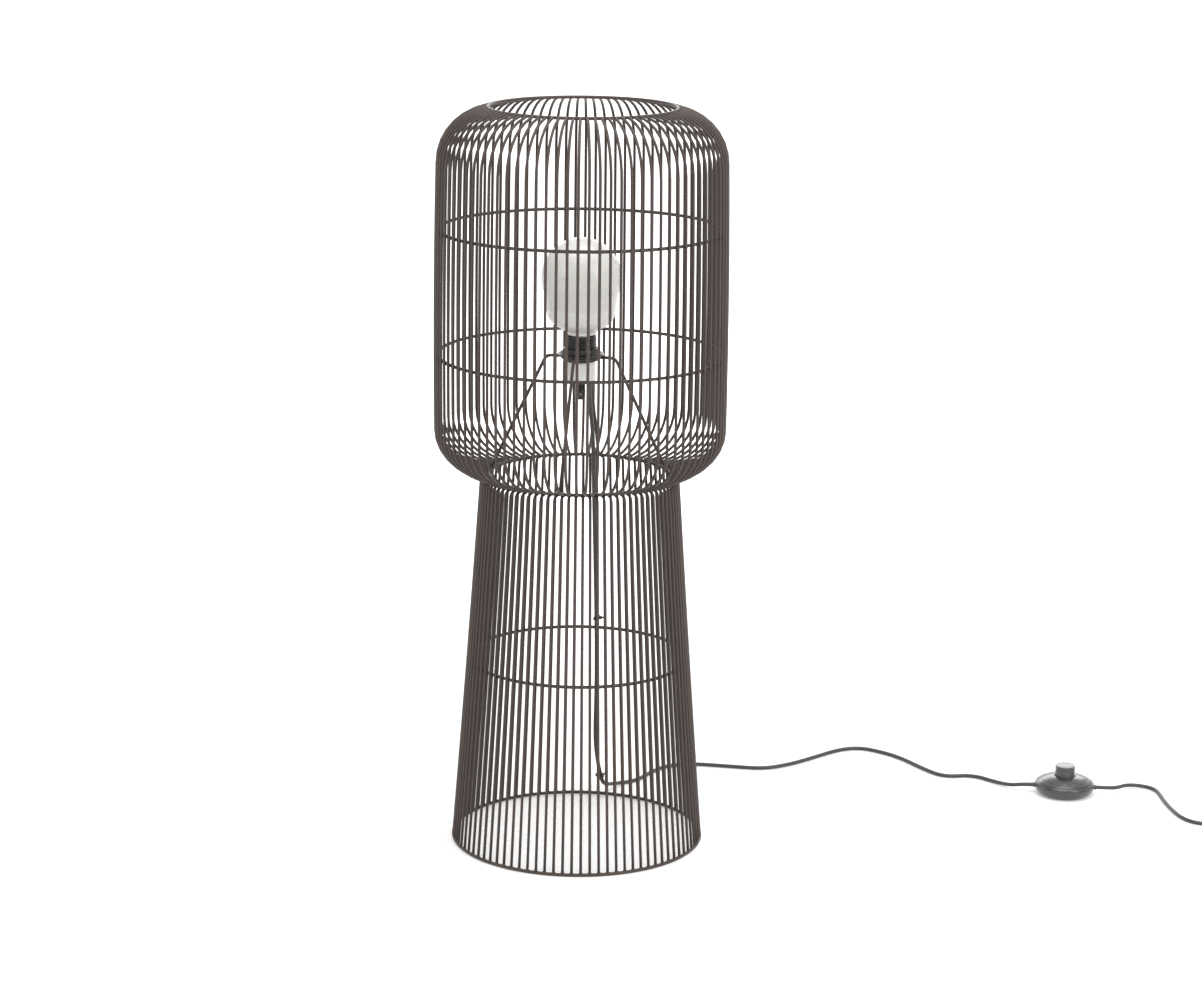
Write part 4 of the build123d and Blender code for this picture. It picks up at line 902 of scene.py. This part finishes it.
def plugShape():
    # half width and half thickness change along the plug; the section is a circle raised towards a
    # box; finger ridges lift the thickness in the middle of the body
    t = np.concatenate([np.linspace(0, 3, 5), np.linspace(4, 34, 61), np.linspace(34.4, 36, 6)])
    t = t[:, None]
    wide, thick, power = [np.interp(t, *np.transpose(plug[key]))
                          for key in ("halfWide", "halfThick", "power")]
    ridge = (np.clip((t - plug["ridgeFrom"]) / plug["ridgeFade"], 0, 1)
             * np.clip((plug["ridgeTo"] - t) / plug["ridgeFade"], 0, 1))
    wave = 0.5 + 0.5 * np.cos(2 * np.pi * t / plug["ridgePitch"])
    thick = thick - plug["ridgeDepth"] * ridge * wave
    a = wholeTurn(plug["sides"])[None, :]
    points = np.stack([t + 0 * a, wide * squared(np.cos(a), power),
                       thick * squared(np.sin(a), power)], -1)
    return onPlug(points.reshape(-1, 3) * mm), tubeFaces(len(t), plug["sides"])


def reliefShape():
    # the tapered relief follows the cord's last stretch, ringed so that it bends; its root is
    # inside the plug
    fromEnd = mainsLine[::-1]
    gone = np.concatenate([[0], np.cumsum(np.linalg.norm(np.diff(fromEnd, axis=0), axis=1))])
    run = np.linspace(0, relief["long"], 67)
    path = np.stack([np.interp(run, gone, fromEnd[:, k]) for k in range(3)], 1)
    rings = relief["ringDepth"] * np.clip(np.sin(2 * np.pi * run / relief["ringPitch"]) * 2, -1, 1)
    swell = np.interp(run / mm, *np.transpose(relief["radius"])) * mm
    swell = np.append(relief["root"], swell + rings * (run < relief["ringsTo"]))
    root = path[0] + np.array([np.cos(plugT), np.sin(plugT), 0]) * relief["inside"]
    return carried(np.concatenate([root[None], path]), roundSection(1.0, 28), swell=swell)


def pinShape(low, high, radius, rounding):
    # two round pins side by side, each a turned outline laid along the plug
    outline = filleted([(pins["axis"], low), (radius, low), (radius, high), (pins["axis"], high)],
                       [0, pins["edge"], rounding, 0], 6)
    points, faces = turned(outline, 28)
    flat = np.stack([points[:, 2], points[:, 0], points[:, 1]], 1)
    return joined(*[(onPlug(flat + [0, side * pins["gap"], 0]), faces) for side in (-1, 1)])


plugBody = ridingPiece("plugBody", joined(plugShape(), reliefShape()), "plugRubber", "lamp",
                       "plug_grey", "plug_body", sharp=45)
sleeveEnd = plug["long"] + pins["sleeve"]
pinSleeves = ridingPiece(
    "pinSleeves", pinShape(plug["long"] - pins["sleeveIn"], sleeveEnd, pins["sleeveRadius"],
                           pins["edge"]),
    "plugRubber", "lamp", "plug_grey", "plug_pin_sleeves")
plugPins = ridingPiece(
    "plugPins", pinShape(sleeveEnd - pins["overlap"], plug["long"] + pins["long"], pins["radius"],
                         pins["tip"]), "pinBrass", "lamp", "pin_brass", "plug_pins")

for cord, nodes in ((lampCord, ("cord_lamp",)), (mainsCord, ("cord_mains", "cord_coil", "cord_tail"))):
    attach(cord, "lamp")
    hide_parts(*nodes)
print("lead, ties and plug ready")
